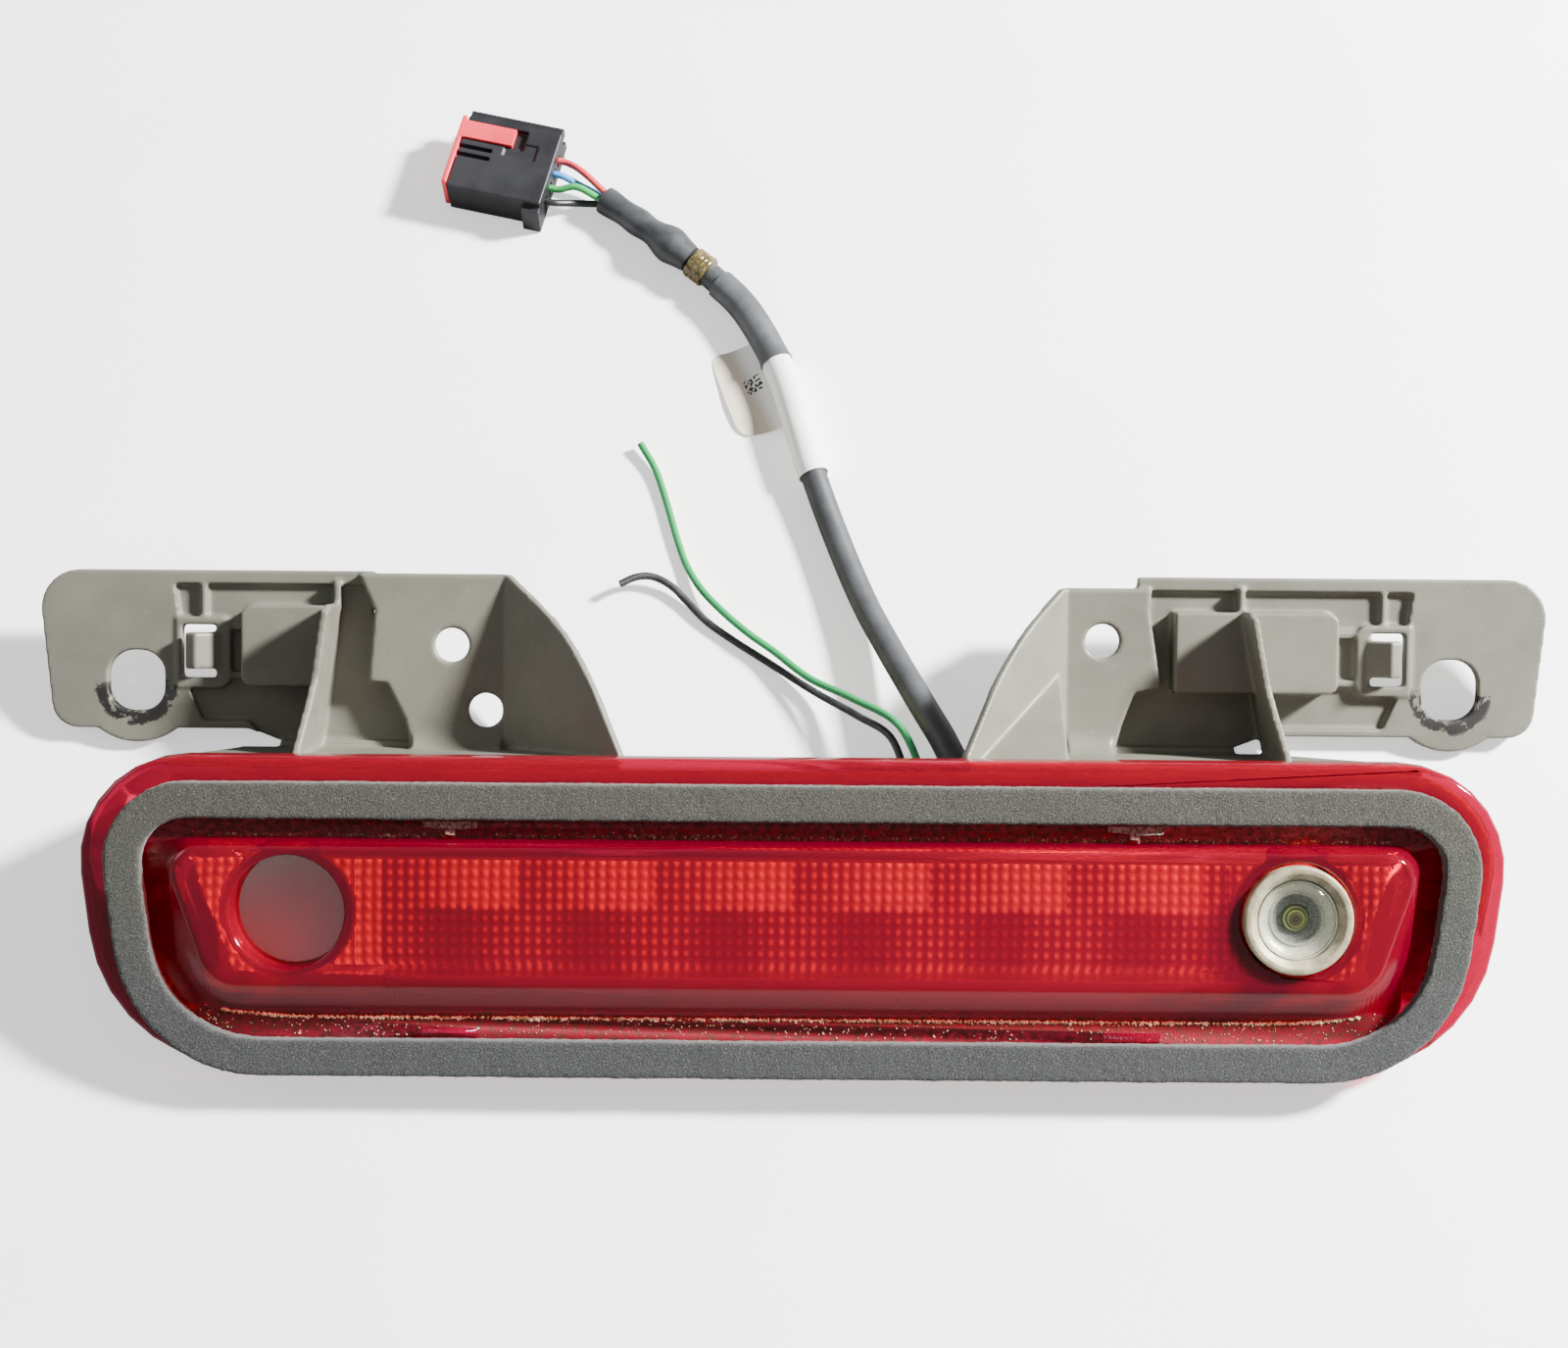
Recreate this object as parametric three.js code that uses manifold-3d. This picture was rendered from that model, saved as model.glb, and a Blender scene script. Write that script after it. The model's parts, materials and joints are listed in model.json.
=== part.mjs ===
// Third brake light of a van or pick-up, taken off the vehicle: a long red lens with a foam gasket on a grey moulded
// carrier with two bolt-on brackets, six LEDs behind it, a reversing camera in its right end with its cable and
// connector, and the two cut supply wires of the LEDs.
// Millimetres. The lamp is drawn in its own axes (x along its length, y up the lens, z out of the lens), then leaned
// back until the lens's lower edge and the bracket lobes rest on the ground, z = 0. The cables lie in ground axes.
import * as THREE from "three";
import { mergeVertices } from "three/addons/utils/BufferGeometryUtils.js";
import { ConvexGeometry } from "three/addons/geometries/ConvexGeometry.js";
import Module from "manifold-3d";

const wasm = await Module();
wasm.setup();

// ---------------------------------------------------------------- driving dimensions
const gap = 0.3; // between touching pieces
const overlap = 0.5; // how far two volumes of one piece run into each other before they are joined

// Lens
const lensTop = 37;
const lensBottom = -36;
const lensHalfWidth = 166.8; // at sideRefY
const sideRefY = 15;
const sideSlope = 0.13; // the ends lean in towards the bottom
const topRadius = 24.5;
const bottomRadius = 36;
const skirtDepth = 8;
const lensWall = 2.2;
const windowHeight = 7; // how far the raised window stands out of the flange
const windowTop = 16.6;
const windowBottom = -15.4;
const windowHalfTop = 145.6;
const windowHalfBottom = 134;
const windowFootTop = 18.3;
const windowFootBottom = -23.5;
const windowFootHalfTop = 147.4;
const windowFootHalfBottom = 142.5;
const tabSize = [13, 2, 1.6]; // the small location tabs above and below the window
const tabX = 79.5;

// Foam gasket on the flange
const gasketTop = 31.4;
const gasketBottom = -37.3;
const gasketHalfWidth = 160.4;
const gasketWidth = 8.8;
const gasketThick = 4.2;
const gasketTopRadius = 19;
const gasketBottomRadius = 34;

// The two round ports of the lens: open on the left, the camera on the right
const portX = 116.5;
const portY = 1.5;
const portRadius = 13.25;
const collarWall = 2;
const collarBack = -4.3;

// Tray of the carrier
const wall = 2;
const trayBack = -18;
const trayInset = 4;
const tunnelHalf = [portRadius + 6.75, portRadius + 5.75]; // outside half sizes of the square tunnels behind the ports
const groundClearance = 1;

// Optics and LEDs
const cellCount = 6;
const cellPitch = (2 * (portX - portRadius - 8.15)) / cellCount; // the row fits between the tunnels
const reflectorTop = 14.6;
const reflectorBottom = -13.5;
const reflectorFront = 1.6;
const opticThick = 1.5;
const boardThick = 1.6;
const boardBottom = -9;
const boardTop = 13.5;
const ledSize = [3.6, 3.2, 1.9];
const screwRadius = 1.3;
const screwHeadRadius = 2.6;

// Brackets
const wingHalfSpan = 186.5;
const wingTop = 79.5;
const wingBottom = 40.3;
const wingFront = -40;
const wingThick = 3.5;
const pocketDepth = 1.8;
const boltX = 162.5;
const boltY = 52.1;
const boltHole = [14, 15];
const lobeRadius = 15.3;
const panelFront = -36;
const panelThick = 2.4;
const panelHoleRadius = 4.2;
const shelfTop = lensTop - 1;
const shelfUnder = lensTop - trayInset + gap; // the shelf lies on the tray's top wall
const freeEdgeFoot = 41; // where the slanted wall's free edge reaches the lens
const ribThick = 1.8;
const ribFront = -22;
const boxFront = -34;
// What differs between the sides; x is outward from the middle, outlines run from the top round to the shelf
const leftSide = {
  sign: -1,
  fold: 71,
  panelTop: 79,
  panelEdge: [[107, 79], [103, 70], [104.5, 52.5], [100, 52], [95.5, 43]],
  pocketFoot: 94,
  shelfEnd: 137,
  box: [115.4, 135.5],
  rib: [112.6, 117.8],
  panelHoles: [[84, 61.6], [75.6, 45.6]],
  cornerWeb: false,
};
const rightSide = {
  sign: 1,
  fold: 67,
  panelTop: 76.7,
  panelEdge: [[88, 76.7], [87.5, 71], [90.5, 52.5], [84, 51], [81, 43]],
  pocketFoot: 79,
  shelfEnd: 119.5,
  box: [93.5, 133.7],
  rib: [110.4, 117.4],
  panelHoles: [[75.9, 63.8]],
  cornerWeb: true,
};

// Camera
const bezelRadius = portRadius - 0.6;
const bezelFront = 9;
const glassRadius = bezelRadius - 3.45;
const barrelRadius = 7.2;
const camBodyHalf = [12, 11];
const camFlangeFront = -6.5;
const camFlangeThick = 2.5;
const camBodyBack = -16;
const camScrewAt = [portRadius + 0.65, portRadius - 0.15];

// Cables
const cableDiameter = 6.9;
const cableRadius = cableDiameter / 2;
const labelRadius = cableRadius + 0.6;
const sleeveRadius = cableRadius + 0.65;
const bootRadius = cableRadius + 0.25;
const bulgeRadius = cableRadius + 1.85;
const smallWire = 1.9;

// Connector
const plugLength = 26;
const plugWidth = 23;
const plugHeight = 11;
const plugAt = [-78.9, 189.6];
const plugTurn = THREE.MathUtils.degToRad(-13);
const lockPlate = 1.3;

// ---------------------------------------------------------------- resting pose
const wingBack = wingFront - wingThick;
const lobeFoot = boltY - lobeRadius;
const lean = Math.atan2(-skirtDepth - wingBack, lobeFoot - lensBottom);
const lift = -(lensBottom * Math.sin(lean) - skirtDepth * Math.cos(lean));
const frontReach = gasketBottom * Math.cos(lean) - (gap + gasketThick) * Math.sin(lean);
const backReach = wingTop * Math.cos(lean) - wingBack * Math.sin(lean);
const lamp = new THREE.Group();
lamp.rotation.x = lean;
lamp.position.set(0, -(frontReach + backReach) / 2, lift);
lamp.updateMatrixWorld(true);
const onGround = (x, y, z) => new THREE.Vector3(x, y, z).applyMatrix4(lamp.matrixWorld);

// ---------------------------------------------------------------- helpers
const object = new THREE.Group();
object.add(lamp);

function solid(geometry) {
  geometry.deleteAttribute("normal");
  geometry.deleteAttribute("uv");
  const merged = mergeVertices(geometry, 1e-4);
  const vertProperties = merged.attributes.position.array;
  const triVerts = new Uint32Array(merged.index.array);
  return new wasm.Manifold(new wasm.Mesh({ numProp: 3, vertProperties, triVerts }));
}

function place(piece, name, material, group = lamp) {
  const { vertProperties, triVerts } = piece.getMesh();
  const geometry = new THREE.BufferGeometry();
  geometry.setAttribute("position", new THREE.BufferAttribute(new Float32Array(vertProperties), 3));
  geometry.setIndex(new THREE.BufferAttribute(new Uint32Array(triVerts), 1));
  geometry.computeVertexNormals();
  const mesh = new THREE.Mesh(geometry, material);
  mesh.name = name;
  group.add(mesh);
  return mesh;
}

function union(...pieces) {
  return pieces.reduce((joined, piece) => joined.add(piece));
}

// Closed outline through [x, y, radius] corners, with each radius as an arc
function outline(corners, steps = 7) {
  const points = [];
  corners.forEach(([x, y, radius = 0], i) => {
    const corner = new THREE.Vector2(x, y);
    if (!radius) {
      points.push(corner);
      return;
    }
    const before = corners.at(i - 1);
    const after = corners[(i + 1) % corners.length];
    const back = new THREE.Vector2(before[0] - x, before[1] - y).normalize();
    const on = new THREE.Vector2(after[0] - x, after[1] - y).normalize();
    const half = Math.acos(THREE.MathUtils.clamp(back.dot(on), -1, 1)) / 2;
    const middle = back.clone().add(on).normalize().multiplyScalar(radius / Math.sin(half)).add(corner);
    const first = back.clone().multiplyScalar(radius / Math.tan(half)).add(corner).sub(middle);
    const turn = (Math.PI - 2 * half) * Math.sign(-back.cross(on));
    for (let step = 0; step <= steps; step += 1) {
      points.push(first.clone().rotateAround(new THREE.Vector2(), (turn * step) / steps).add(middle));
    }
  });
  return points;
}

function slab(points, z0, z1) {
  const geometry = new THREE.ExtrudeGeometry(new THREE.Shape(points), { depth: z1 - z0, bevelEnabled: false });
  geometry.translate(0, 0, z0);
  return solid(geometry);
}

// A slab drawn in another plane: its outline's two axes and the direction that it is extruded in
function plate(points, from, to, axisU, axisV) {
  const axisW = axisU.clone().cross(axisV);
  const geometry = new THREE.ExtrudeGeometry(new THREE.Shape(points), { depth: to - from, bevelEnabled: false });
  geometry.translate(0, 0, from);
  geometry.applyMatrix4(new THREE.Matrix4().makeBasis(axisU, axisV, axisW));
  return solid(geometry);
}

function block(x0, x1, y0, y1, z0, z1) {
  const geometry = new THREE.BoxGeometry(Math.abs(x1 - x0), Math.abs(y1 - y0), Math.abs(z1 - z0));
  geometry.translate((x0 + x1) / 2, (y0 + y1) / 2, (z0 + z1) / 2);
  return solid(geometry);
}

function rod(x, y, radius, z0, z1, sides = 32) {
  const geometry = new THREE.CylinderGeometry(radius, radius, z1 - z0, sides);
  geometry.rotateX(Math.PI / 2);
  geometry.translate(x, y, (z0 + z1) / 2);
  return solid(geometry);
}

// Turned piece about a line along z through (x, y); the profile is [radius, z] and closes on itself or on the axis
function turned(x, y, profile, sides = 36) {
  const closed = [...profile, profile[0]].map(([radius, z]) => new THREE.Vector2(radius, z));
  const geometry = new THREE.LatheGeometry(closed, sides);
  geometry.rotateX(Math.PI / 2);
  geometry.translate(x, y, 0);
  const piece = solid(geometry);
  return piece;
}

function hull(points) {
  return solid(new ConvexGeometry(points.map(([x, y, z]) => new THREE.Vector3(x, y, z))));
}

const alongX = new THREE.Vector3(1, 0, 0);
const alongY = new THREE.Vector3(0, 1, 0);
const alongZ = new THREE.Vector3(0, 0, 1);

// Everything below the ground plane raised by `clearance`, in lamp axes
function underGround(clearance) {
  const size = 600;
  const geometry = new THREE.BoxGeometry(size, size, size);
  geometry.translate(0, 0, clearance - size / 2);
  geometry.applyMatrix4(lamp.matrixWorld.clone().invert());
  return solid(geometry);
}

function material(color, roughness, metalness = 0) {
  return new THREE.MeshStandardMaterial({ color, roughness, metalness });
}

const greyPlastic = () => material("#8c8c7e", 0.55);
const redLens = () => material("#c0101c", 0.15);

// ---------------------------------------------------------------- lens outlines
// The lens's outline moved in by `inset`
function lensOutline(inset, top = lensTop - inset) {
  const bottom = lensBottom + inset;
  const side = (y) => lensHalfWidth - inset - sideSlope * (sideRefY - y);
  const upper = Math.max(topRadius - inset, 4);
  const lower = Math.max(bottomRadius - inset, 4);
  return outline([
    [-side(top), top, upper],
    [-side(bottom), bottom, lower],
    [side(bottom), bottom, lower],
    [side(top), top, upper],
  ]);
}

function gasketOutline(inset) {
  const top = gasketTop - inset;
  const bottom = gasketBottom + inset;
  const side = (y) => gasketHalfWidth - inset - sideSlope * (sideRefY - y);
  return outline([
    [-side(top), top, gasketTopRadius - inset],
    [-side(bottom), bottom, gasketBottomRadius - inset],
    [side(bottom), bottom, gasketBottomRadius - inset],
    [side(top), top, gasketTopRadius - inset],
  ]);
}

// The raised window: a frustum from its foot on the flange to its front face, moved in by `inset`
function windowFrustum(inset, z0, z1) {
  const foot = outline([
    [-windowFootHalfTop + inset, windowFootTop - inset, 6],
    [-windowFootHalfBottom + inset, windowFootBottom + inset, 17],
    [windowFootHalfBottom - inset, windowFootBottom + inset, 17],
    [windowFootHalfTop - inset, windowFootTop - inset, 6],
  ]);
  const face = outline([
    [-windowHalfTop + inset, windowTop - inset, 6],
    [-windowHalfBottom + inset, windowBottom + inset, 9],
    [windowHalfBottom - inset, windowBottom + inset, 9],
    [windowHalfTop - inset, windowTop - inset, 6],
  ]);
  return hull([...foot.map(({ x, y }) => [x, y, z0]), ...face.map(({ x, y }) => [x, y, z1])]);
}

// ---------------------------------------------------------------- outer lens and gasket
function outerLens() {
  const shell = union(slab(lensOutline(0), -skirtDepth, 0), windowFrustum(0, -overlap, windowHeight));
  const hollow = union(
    slab(lensOutline(lensWall), -skirtDepth - 1, -lensWall),
    windowFrustum(lensWall, -lensWall - overlap, windowHeight - lensWall),
  );
  let lens = shell.subtract(hollow);
  for (const x of [-portX, portX]) {
    lens = lens.add(rod(x, portY, portRadius + collarWall, collarBack, windowHeight - lensWall / 2, 40));
    lens = lens.subtract(rod(x, portY, portRadius, collarBack - 1, windowHeight + 1, 40));
  }
  const [length, width, height] = tabSize;
  for (const x of [-tabX, tabX]) {
    const low = gasketBottom + gasketWidth + gap;
    const high = gasketTop - gasketWidth - gap;
    lens = lens.add(block(x - length / 2, x + length / 2, low, low + width, -overlap, height));
    lens = lens.add(block(x - length / 2, x + length / 2, high - width, high, -overlap, height));
    lens = lens.add(block(x - width / 2, x + width / 2, windowFootTop, high - width + overlap, -overlap, height));
  }
  return lens;
}

function gasket() {
  const outer = slab(gasketOutline(0), gap, gap + gasketThick);
  return outer.subtract(slab(gasketOutline(gasketWidth), -1, gap + gasketThick + 1));
}

place(outerLens(), "outer_lens", redLens());
place(gasket(), "gasket", material("#4c4e48", 0.95));

// ---------------------------------------------------------------- optics and LEDs
const cellX = (i) => (i - (cellCount - 1) / 2) * cellPitch;
const trayFloor = trayBack + wall;
const boardBack = trayFloor + gap;
const boardFront = boardBack + boardThick;
const cellY = (reflectorTop + reflectorBottom) / 2;
const boardScrewX = [-cellPitch, cellPitch].map((x) => x * 2);

function reflector() {
  const reach = (cellCount * cellPitch) / 2 - gap;
  const back = boardFront + gap;
  const rim = wall / 2;
  let body = block(-reach, reach, reflectorBottom, reflectorTop, back, reflectorFront);
  for (let i = 0; i < cellCount; i += 1) {
    const x = cellX(i);
    const half = cellPitch / 2 - rim / 2;
    const mouth = [[-half, reflectorBottom + rim], [half, reflectorBottom + rim],
      [half, reflectorTop - rim], [-half, reflectorTop - rim]];
    const throat = [[-5, cellY - 5], [5, cellY - 5], [5, cellY + 5], [-5, cellY + 5]];
    const funnel = hull([
      ...mouth.map(([u, v]) => [x + u, v, reflectorFront + 1]),
      ...mouth.map(([u, v]) => [x + u * 0.8, cellY + (v - cellY) * 0.8, back + 5]),
      ...throat.map(([u, v]) => [x + u, v, back + 1.5]),
    ]);
    body = body.subtract(funnel);
    const [w, h] = ledSize;
    body = body.subtract(block(x - w / 2 - 0.7, x + w / 2 + 0.7, cellY - h / 2 - 0.7, cellY + h / 2 + 0.7, back - 1, back + 3));
  }
  for (const x of boardScrewX) {
    body = body.subtract(rod(x, boardBottom + 4, screwHeadRadius + gap, back - 1, back + 2.6, 16));
  }
  return body;
}

// The pillow optic fills the window between the two collars
function innerOptic() {
  const back = reflectorFront + gap;
  const reach = portX - portRadius - collarWall - gap;
  return block(-reach, reach, windowBottom + lensWall + gap, windowTop - lensWall - gap, back, back + opticThick);
}

function ledBoard() {
  const reach = (cellCount * cellPitch) / 2 - 2;
  let board = block(-reach, reach, boardBottom, boardTop, boardBack, boardFront);
  for (const x of boardScrewX) {
    board = board.subtract(rod(x, boardBottom + 4, screwRadius + gap, boardBack - 1, boardFront + 1, 16));
  }
  return board;
}

place(reflector(), "reflector", material("#d8d4d0", 0.18, 0.9));
place(innerOptic(), "inner_optic", material("#d8202c", 0.1));
place(ledBoard(), "led_board", material("#1f5a38", 0.5));
for (let i = 0; i < cellCount; i += 1) {
  const [w, h, t] = ledSize;
  const x = cellX(i);
  const led = block(x - w / 2, x + w / 2, cellY - h / 2, cellY + h / 2, boardFront + gap, boardFront + gap + t);
  place(led, `led_${i + 1}`, material("#f2e6c0", 0.35));
}
boardScrewX.forEach((x, i) => {
  const y = boardBottom + 4;
  const head = rod(x, y, screwHeadRadius, boardFront + gap, boardFront + gap + 1.6, 16);
  const screw = head.add(rod(x, y, screwRadius, trayBack + 0.8, boardFront + gap + overlap, 16));
  place(screw, `board_screw_${i + 1}`, material("#b8bcc0", 0.3, 1));
});

// ---------------------------------------------------------------- carrier: tray
const grommetAt = [32, 23];
const grommetHole = 4.6;
const ventAt = [-40, 22];
const ventHole = 3;
const tunnelFront = collarBack + wall;

function tunnel(sign, clearance) {
  const [halfX, halfY] = tunnelHalf;
  const x = sign * portX;
  const [a, b] = [halfX - clearance, halfY - clearance];
  return outline([
    [x - a, portY - b, 4 - clearance],
    [x + a, portY - b, 4 - clearance],
    [x + a, portY + b, 4 - clearance],
    [x - a, portY + b, 4 - clearance],
  ], 4);
}

function tray() {
  const rim = slab(lensOutline(lensWall + gap), -skirtDepth, -lensWall - gap);
  const body = slab(lensOutline(trayInset), trayBack, -skirtDepth + overlap);
  const hollow = slab(lensOutline(trayInset + wall), trayFloor, 0).subtract(underGround(groundClearance + wall));
  let shell = union(rim, body).subtract(hollow).subtract(underGround(groundClearance));
  for (const sign of [-1, 1]) {
    const tube = slab(tunnel(sign, 0), trayBack, tunnelFront).subtract(underGround(groundClearance));
    shell = shell.add(tube);
    shell = shell.subtract(slab(tunnel(sign, wall), trayBack - 20, collarBack));
    shell = shell.subtract(rod(sign * portX, portY, portRadius + collarWall + gap, collarBack - 1, 0, 40));
  }
  for (const sign of [-1, 1]) {
    const [dx, dy] = camScrewAt;
    const [x, y] = [portX + sign * dx, portY + sign * dy];
    shell = shell.add(rod(x, y, screwHeadRadius, camFlangeFront + gap, collarBack + overlap, 16));
    shell = shell.subtract(rod(x, y, screwRadius + gap, camFlangeFront - 1, collarBack + 1, 16));
  }
  for (const x of boardScrewX) {
    shell = shell.subtract(rod(x, boardBottom + 4, screwRadius + gap, trayBack + 0.5, trayFloor + 1, 16));
  }
  shell = shell.subtract(rod(...grommetAt, grommetHole + gap, trayBack - 1, trayFloor + 1, 20));
  shell = shell.subtract(rod(...ventAt, ventHole + gap, trayBack - 1, trayFloor + 1, 20));
  return shell;
}

place(tray(), "housing", greyPlastic());

place(
  turned(...grommetAt, [[0, trayBack - 2], [grommetHole + 1.8, trayBack - 2], [grommetHole + 1.8, trayBack - gap],
    [grommetHole, trayBack - gap], [grommetHole, trayFloor + gap], [grommetHole + 1.2, trayFloor + gap],
    [grommetHole, trayFloor + 1.8], [0, trayFloor + 1.8]], 20),
  "wire_grommet", material("#2b2b2c", 0.85));
place(
  turned(...ventAt, [[0, trayBack - 1.8], [ventHole + 2, trayBack - 1.8], [ventHole + 2, trayBack - gap],
    [ventHole, trayBack - gap], [ventHole, trayFloor], [0, trayFloor]], 20),
  "vent_plug", material("#2b2b2c", 0.8));

// ---------------------------------------------------------------- carrier: brackets
function shelf(side) {
  const { sign, fold, shelfEnd } = side;
  const front = -skirtDepth - gap;
  const back = wingFront - overlap;
  const points = [[freeEdgeFoot, front], [shelfEnd, front], [shelfEnd, back], [fold, back], [fold, panelFront],
    [freeEdgeFoot, front - 2.7]].map(([x, z]) => new THREE.Vector2(sign * x, z));
  return plate(points, -shelfTop, -shelfUnder, alongX, alongZ);
}

function wing(side) {
  const { sign, panelEdge, pocketFoot, box: boxX } = side;
  const at = (x, y, radius) => [sign * x, y, radius];
  const inner = panelEdge[0][0] - 3;
  const lowInner = side.shelfEnd - 2;
  let body = slab(outline([
    at(inner, wingTop), at(wingHalfSpan + 0.6, wingTop, 9.5), at(wingHalfSpan - 3.6, wingBottom, 6.5),
    at(lowInner, wingBottom), at(lowInner - 8, shelfTop + 1.2), at(pocketFoot, shelfTop + 1.2), at(pocketFoot, 60),
    at(inner, 62),
  ]), wingBack, wingFront);
  body = body.add(rod(sign * boltX, boltY, lobeRadius, wingBack, wingFront, 48));
  const floorFront = wingFront - pocketDepth;
  const pocket = outline([
    at(inner - 5, wingTop - 3.4), at(153, wingTop - 3.4), at(149.5, 50), at(146, wingBottom + 2),
    at(lowInner, wingBottom + 2), at(lowInner - 6, shelfTop), at(pocketFoot - 5, shelfTop),
  ]);
  body = body.subtract(slab(pocket, floorFront, wingFront + 1));
  const [hx, hy] = boltHole;
  body = body.subtract(slab(outline([
    at(boltX - hx / 2, boltY - hy / 2, 6), at(boltX + hx / 2, boltY - hy / 2, 6),
    at(boltX + hx / 2, boltY + hy / 2, 6), at(boltX - hx / 2, boltY + hy / 2, 6),
  ]), wingBack - 1, wingFront + 1));
  // box boss, open at the back
  const [b0, b1] = boxX;
  const boxCorners = (inset) => outline([
    at(b0 + inset, 51.2 + inset), at(b1 - inset, 51.2 + inset, 2.6 - inset),
    at(b1 - inset, 71 - inset, 2.6 - inset), at(b0 + inset, 71 - inset),
  ], 4);
  body = body.add(slab(boxCorners(0), wingBack, boxFront));
  body = body.subtract(slab(boxCorners(wall), wingBack - 1, boxFront - wall));
  // clip window with its collar and hook
  body = body.add(slab(outline([
    at(139, 50.4, 3), at(152.6, 50.4), at(152.6, 68), at(139, 68, 3),
  ]), wingBack, wingFront + 0.6));
  body = body.subtract(block(sign * 142.6, sign * 151.2, 52.9, 66, wingBack - 1, wingFront + 2));
  const hook = [[139.6, wingBack], [139.6, wingFront - 0.5], [147, -35.2], [149.6, -36.4], [149.6, -38.6],
    [146.4, -39.4], [142.6, wingBack]].map(([x, z]) => new THREE.Vector2(sign * x, z));
  body = body.add(plate(hook, -64.2, -55.2, alongX, alongZ));
  // small ribs between the box, the collar and the frame
  body = body.add(block(sign * (side.rib[0] - 0.9), sign * (side.rib[0] + 0.9), 70, 77, floorFront - overlap, -38));
  body = body.add(block(sign * 145, sign * 146.6, 67, 77, floorFront - overlap, wingFront));
  body = body.add(block(sign * 134, sign * 140, 64.8, 66.6, floorFront - overlap, wingFront));
  body = body.add(block(sign * 134, sign * 140, 52.6, 54.4, floorFront - overlap, wingFront));
  return body;
}

function panel(side) {
  const { sign, fold, panelTop, panelEdge, pocketFoot, panelHoles } = side;
  const at = (x, y) => [sign * x, y];
  const edge = [[fold, shelfTop - overlap], [fold, panelTop], ...panelEdge, [pocketFoot, shelfTop - overlap]];
  let body = slab(outline(edge.map(([x, y]) => at(x, y))), wingBack, panelFront);
  const middle = [(fold + pocketFoot) / 2, 56];
  const inner = edge.map(([x, y]) => {
    const away = new THREE.Vector2(middle[0] - x, middle[1] - y).normalize();
    return at(x + away.x * wall * 1.3, y + away.y * wall * 1.3);
  });
  body = body.subtract(slab(outline(inner), wingBack - 1, panelFront - panelThick));
  for (const [x, y] of panelHoles) {
    body = body.subtract(rod(sign * x, y, panelHoleRadius, wingBack - 1, panelFront + 1, 28));
  }
  // rounded foot where the panel turns into the shelf
  const radius = 5.5;
  const foot = [[shelfTop - overlap, panelFront - overlap], [shelfTop + radius, panelFront - overlap]];
  for (let step = 0; step <= 5; step += 1) {
    const angle = (Math.PI / 2) * (step / 5);
    foot.push([shelfTop + radius * (1 - Math.sin(angle)), panelFront + radius * (1 - Math.cos(angle))]);
  }
  foot.push([shelfTop - overlap, panelFront + radius]);
  const ends = [sign * (fold + 0.6), sign * (pocketFoot - 0.4)].sort((a, b) => a - b);
  const points = foot.map(([y, z]) => new THREE.Vector2(y, z));
  return body.add(plate(points, ends[0], ends[1], alongY, alongZ));
}

// The slanted wall from the panel's fold out to its free edge beside the lens
function slantedWall(side) {
  const { sign, fold, panelTop } = side;
  const rise = -skirtDepth - gap - panelFront;
  const run = fold - freeEdgeFoot;
  const stretch = Math.hypot(run, rise) / run;
  const freeEdge = new THREE.SplineCurve([[fold - 0.5, panelTop], [57, 66.8], [49.4, 55.4], [44.4, 44.6],
    [freeEdgeFoot, shelfTop + 1]].map(([x, y]) => new THREE.Vector2((fold - x) * stretch, y)));
  const points = [new THREE.Vector2(-1, shelfTop - overlap), new THREE.Vector2(-1, panelTop),
    ...freeEdge.getPoints(14), new THREE.Vector2(run * stretch, shelfTop - overlap)];
  const angle = Math.atan2(rise, run);
  const along = new THREE.Vector3(-sign * Math.cos(angle), 0, Math.sin(angle));
  const [from, to] = sign < 0 ? [-wall, 0] : [0, wall];
  return plate(points, from, to, along, alongY).translate([sign * fold, 0, panelFront]);
}

function rib(side) {
  const { sign, rib: [top, foot] } = side;
  const profile = [[shelfTop - overlap, wingFront - pocketDepth - overlap], [72, wingFront - pocketDepth - overlap],
    [72, ribFront - 4], [70.5, ribFront], [54, ribFront], [48.5, ribFront + 3],
    [shelfTop - overlap, -skirtDepth - 1.5]].map(([y, z]) => new THREE.Vector2(y, z));
  const run = Math.atan2(foot - top, 72 - shelfTop);
  const blade = plate(profile, -ribThick / 2, ribThick / 2, alongY, alongZ);
  const degrees = THREE.MathUtils.radToDeg(run) * sign;
  return blade.translate([0, -shelfTop, 0]).rotate([0, 0, degrees]).translate([sign * foot, shelfTop, 0]);
}

function bracket(side) {
  let body = union(wing(side), panel(side), shelf(side), slantedWall(side), rib(side));
  if (side.cornerWeb) {
    const x = side.fold - 1.5;
    body = body.add(hull([[x, 58, panelFront - overlap], [x, shelfTop - overlap, -skirtDepth - 3.5],
      [freeEdgeFoot + 2.5, shelfTop - overlap, -skirtDepth - 3], [x, shelfTop - overlap, panelFront - overlap]]));
  }
  const belowShelf = block(-wingHalfSpan, wingHalfSpan, 0, shelfUnder, wingBack - 5, 0);
  const underShelf = underGround(groundClearance / 2)
    .intersect(block(-boltX + lobeRadius, boltX - lobeRadius, 0, shelfTop + 3, wingBack - 9, 0));
  return body.subtract(belowShelf).subtract(underShelf);
}

place(bracket(leftSide), "bracket_left", greyPlastic());
place(bracket(rightSide), "bracket_right", greyPlastic());

// ---------------------------------------------------------------- camera
const black = () => material("#1c1d1f", 0.5);
const camFlangeBack = camFlangeFront - camFlangeThick;

place(
  turned(portX, portY, [[bezelRadius - 1.9, camFlangeFront + gap], [bezelRadius, camFlangeFront + gap],
    [bezelRadius, bezelFront - 0.6], [bezelRadius - 0.6, bezelFront], [glassRadius + 0.9, bezelFront],
    [glassRadius + 0.5, bezelFront - 1.1], [glassRadius + gap, bezelFront - 1.4],
    [glassRadius + gap, bezelFront - 3.2], [bezelRadius - 1.9, bezelFront - 4.4]]),
  "camera_bezel", material("#c8c2ae", 0.5, 0.2));

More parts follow.
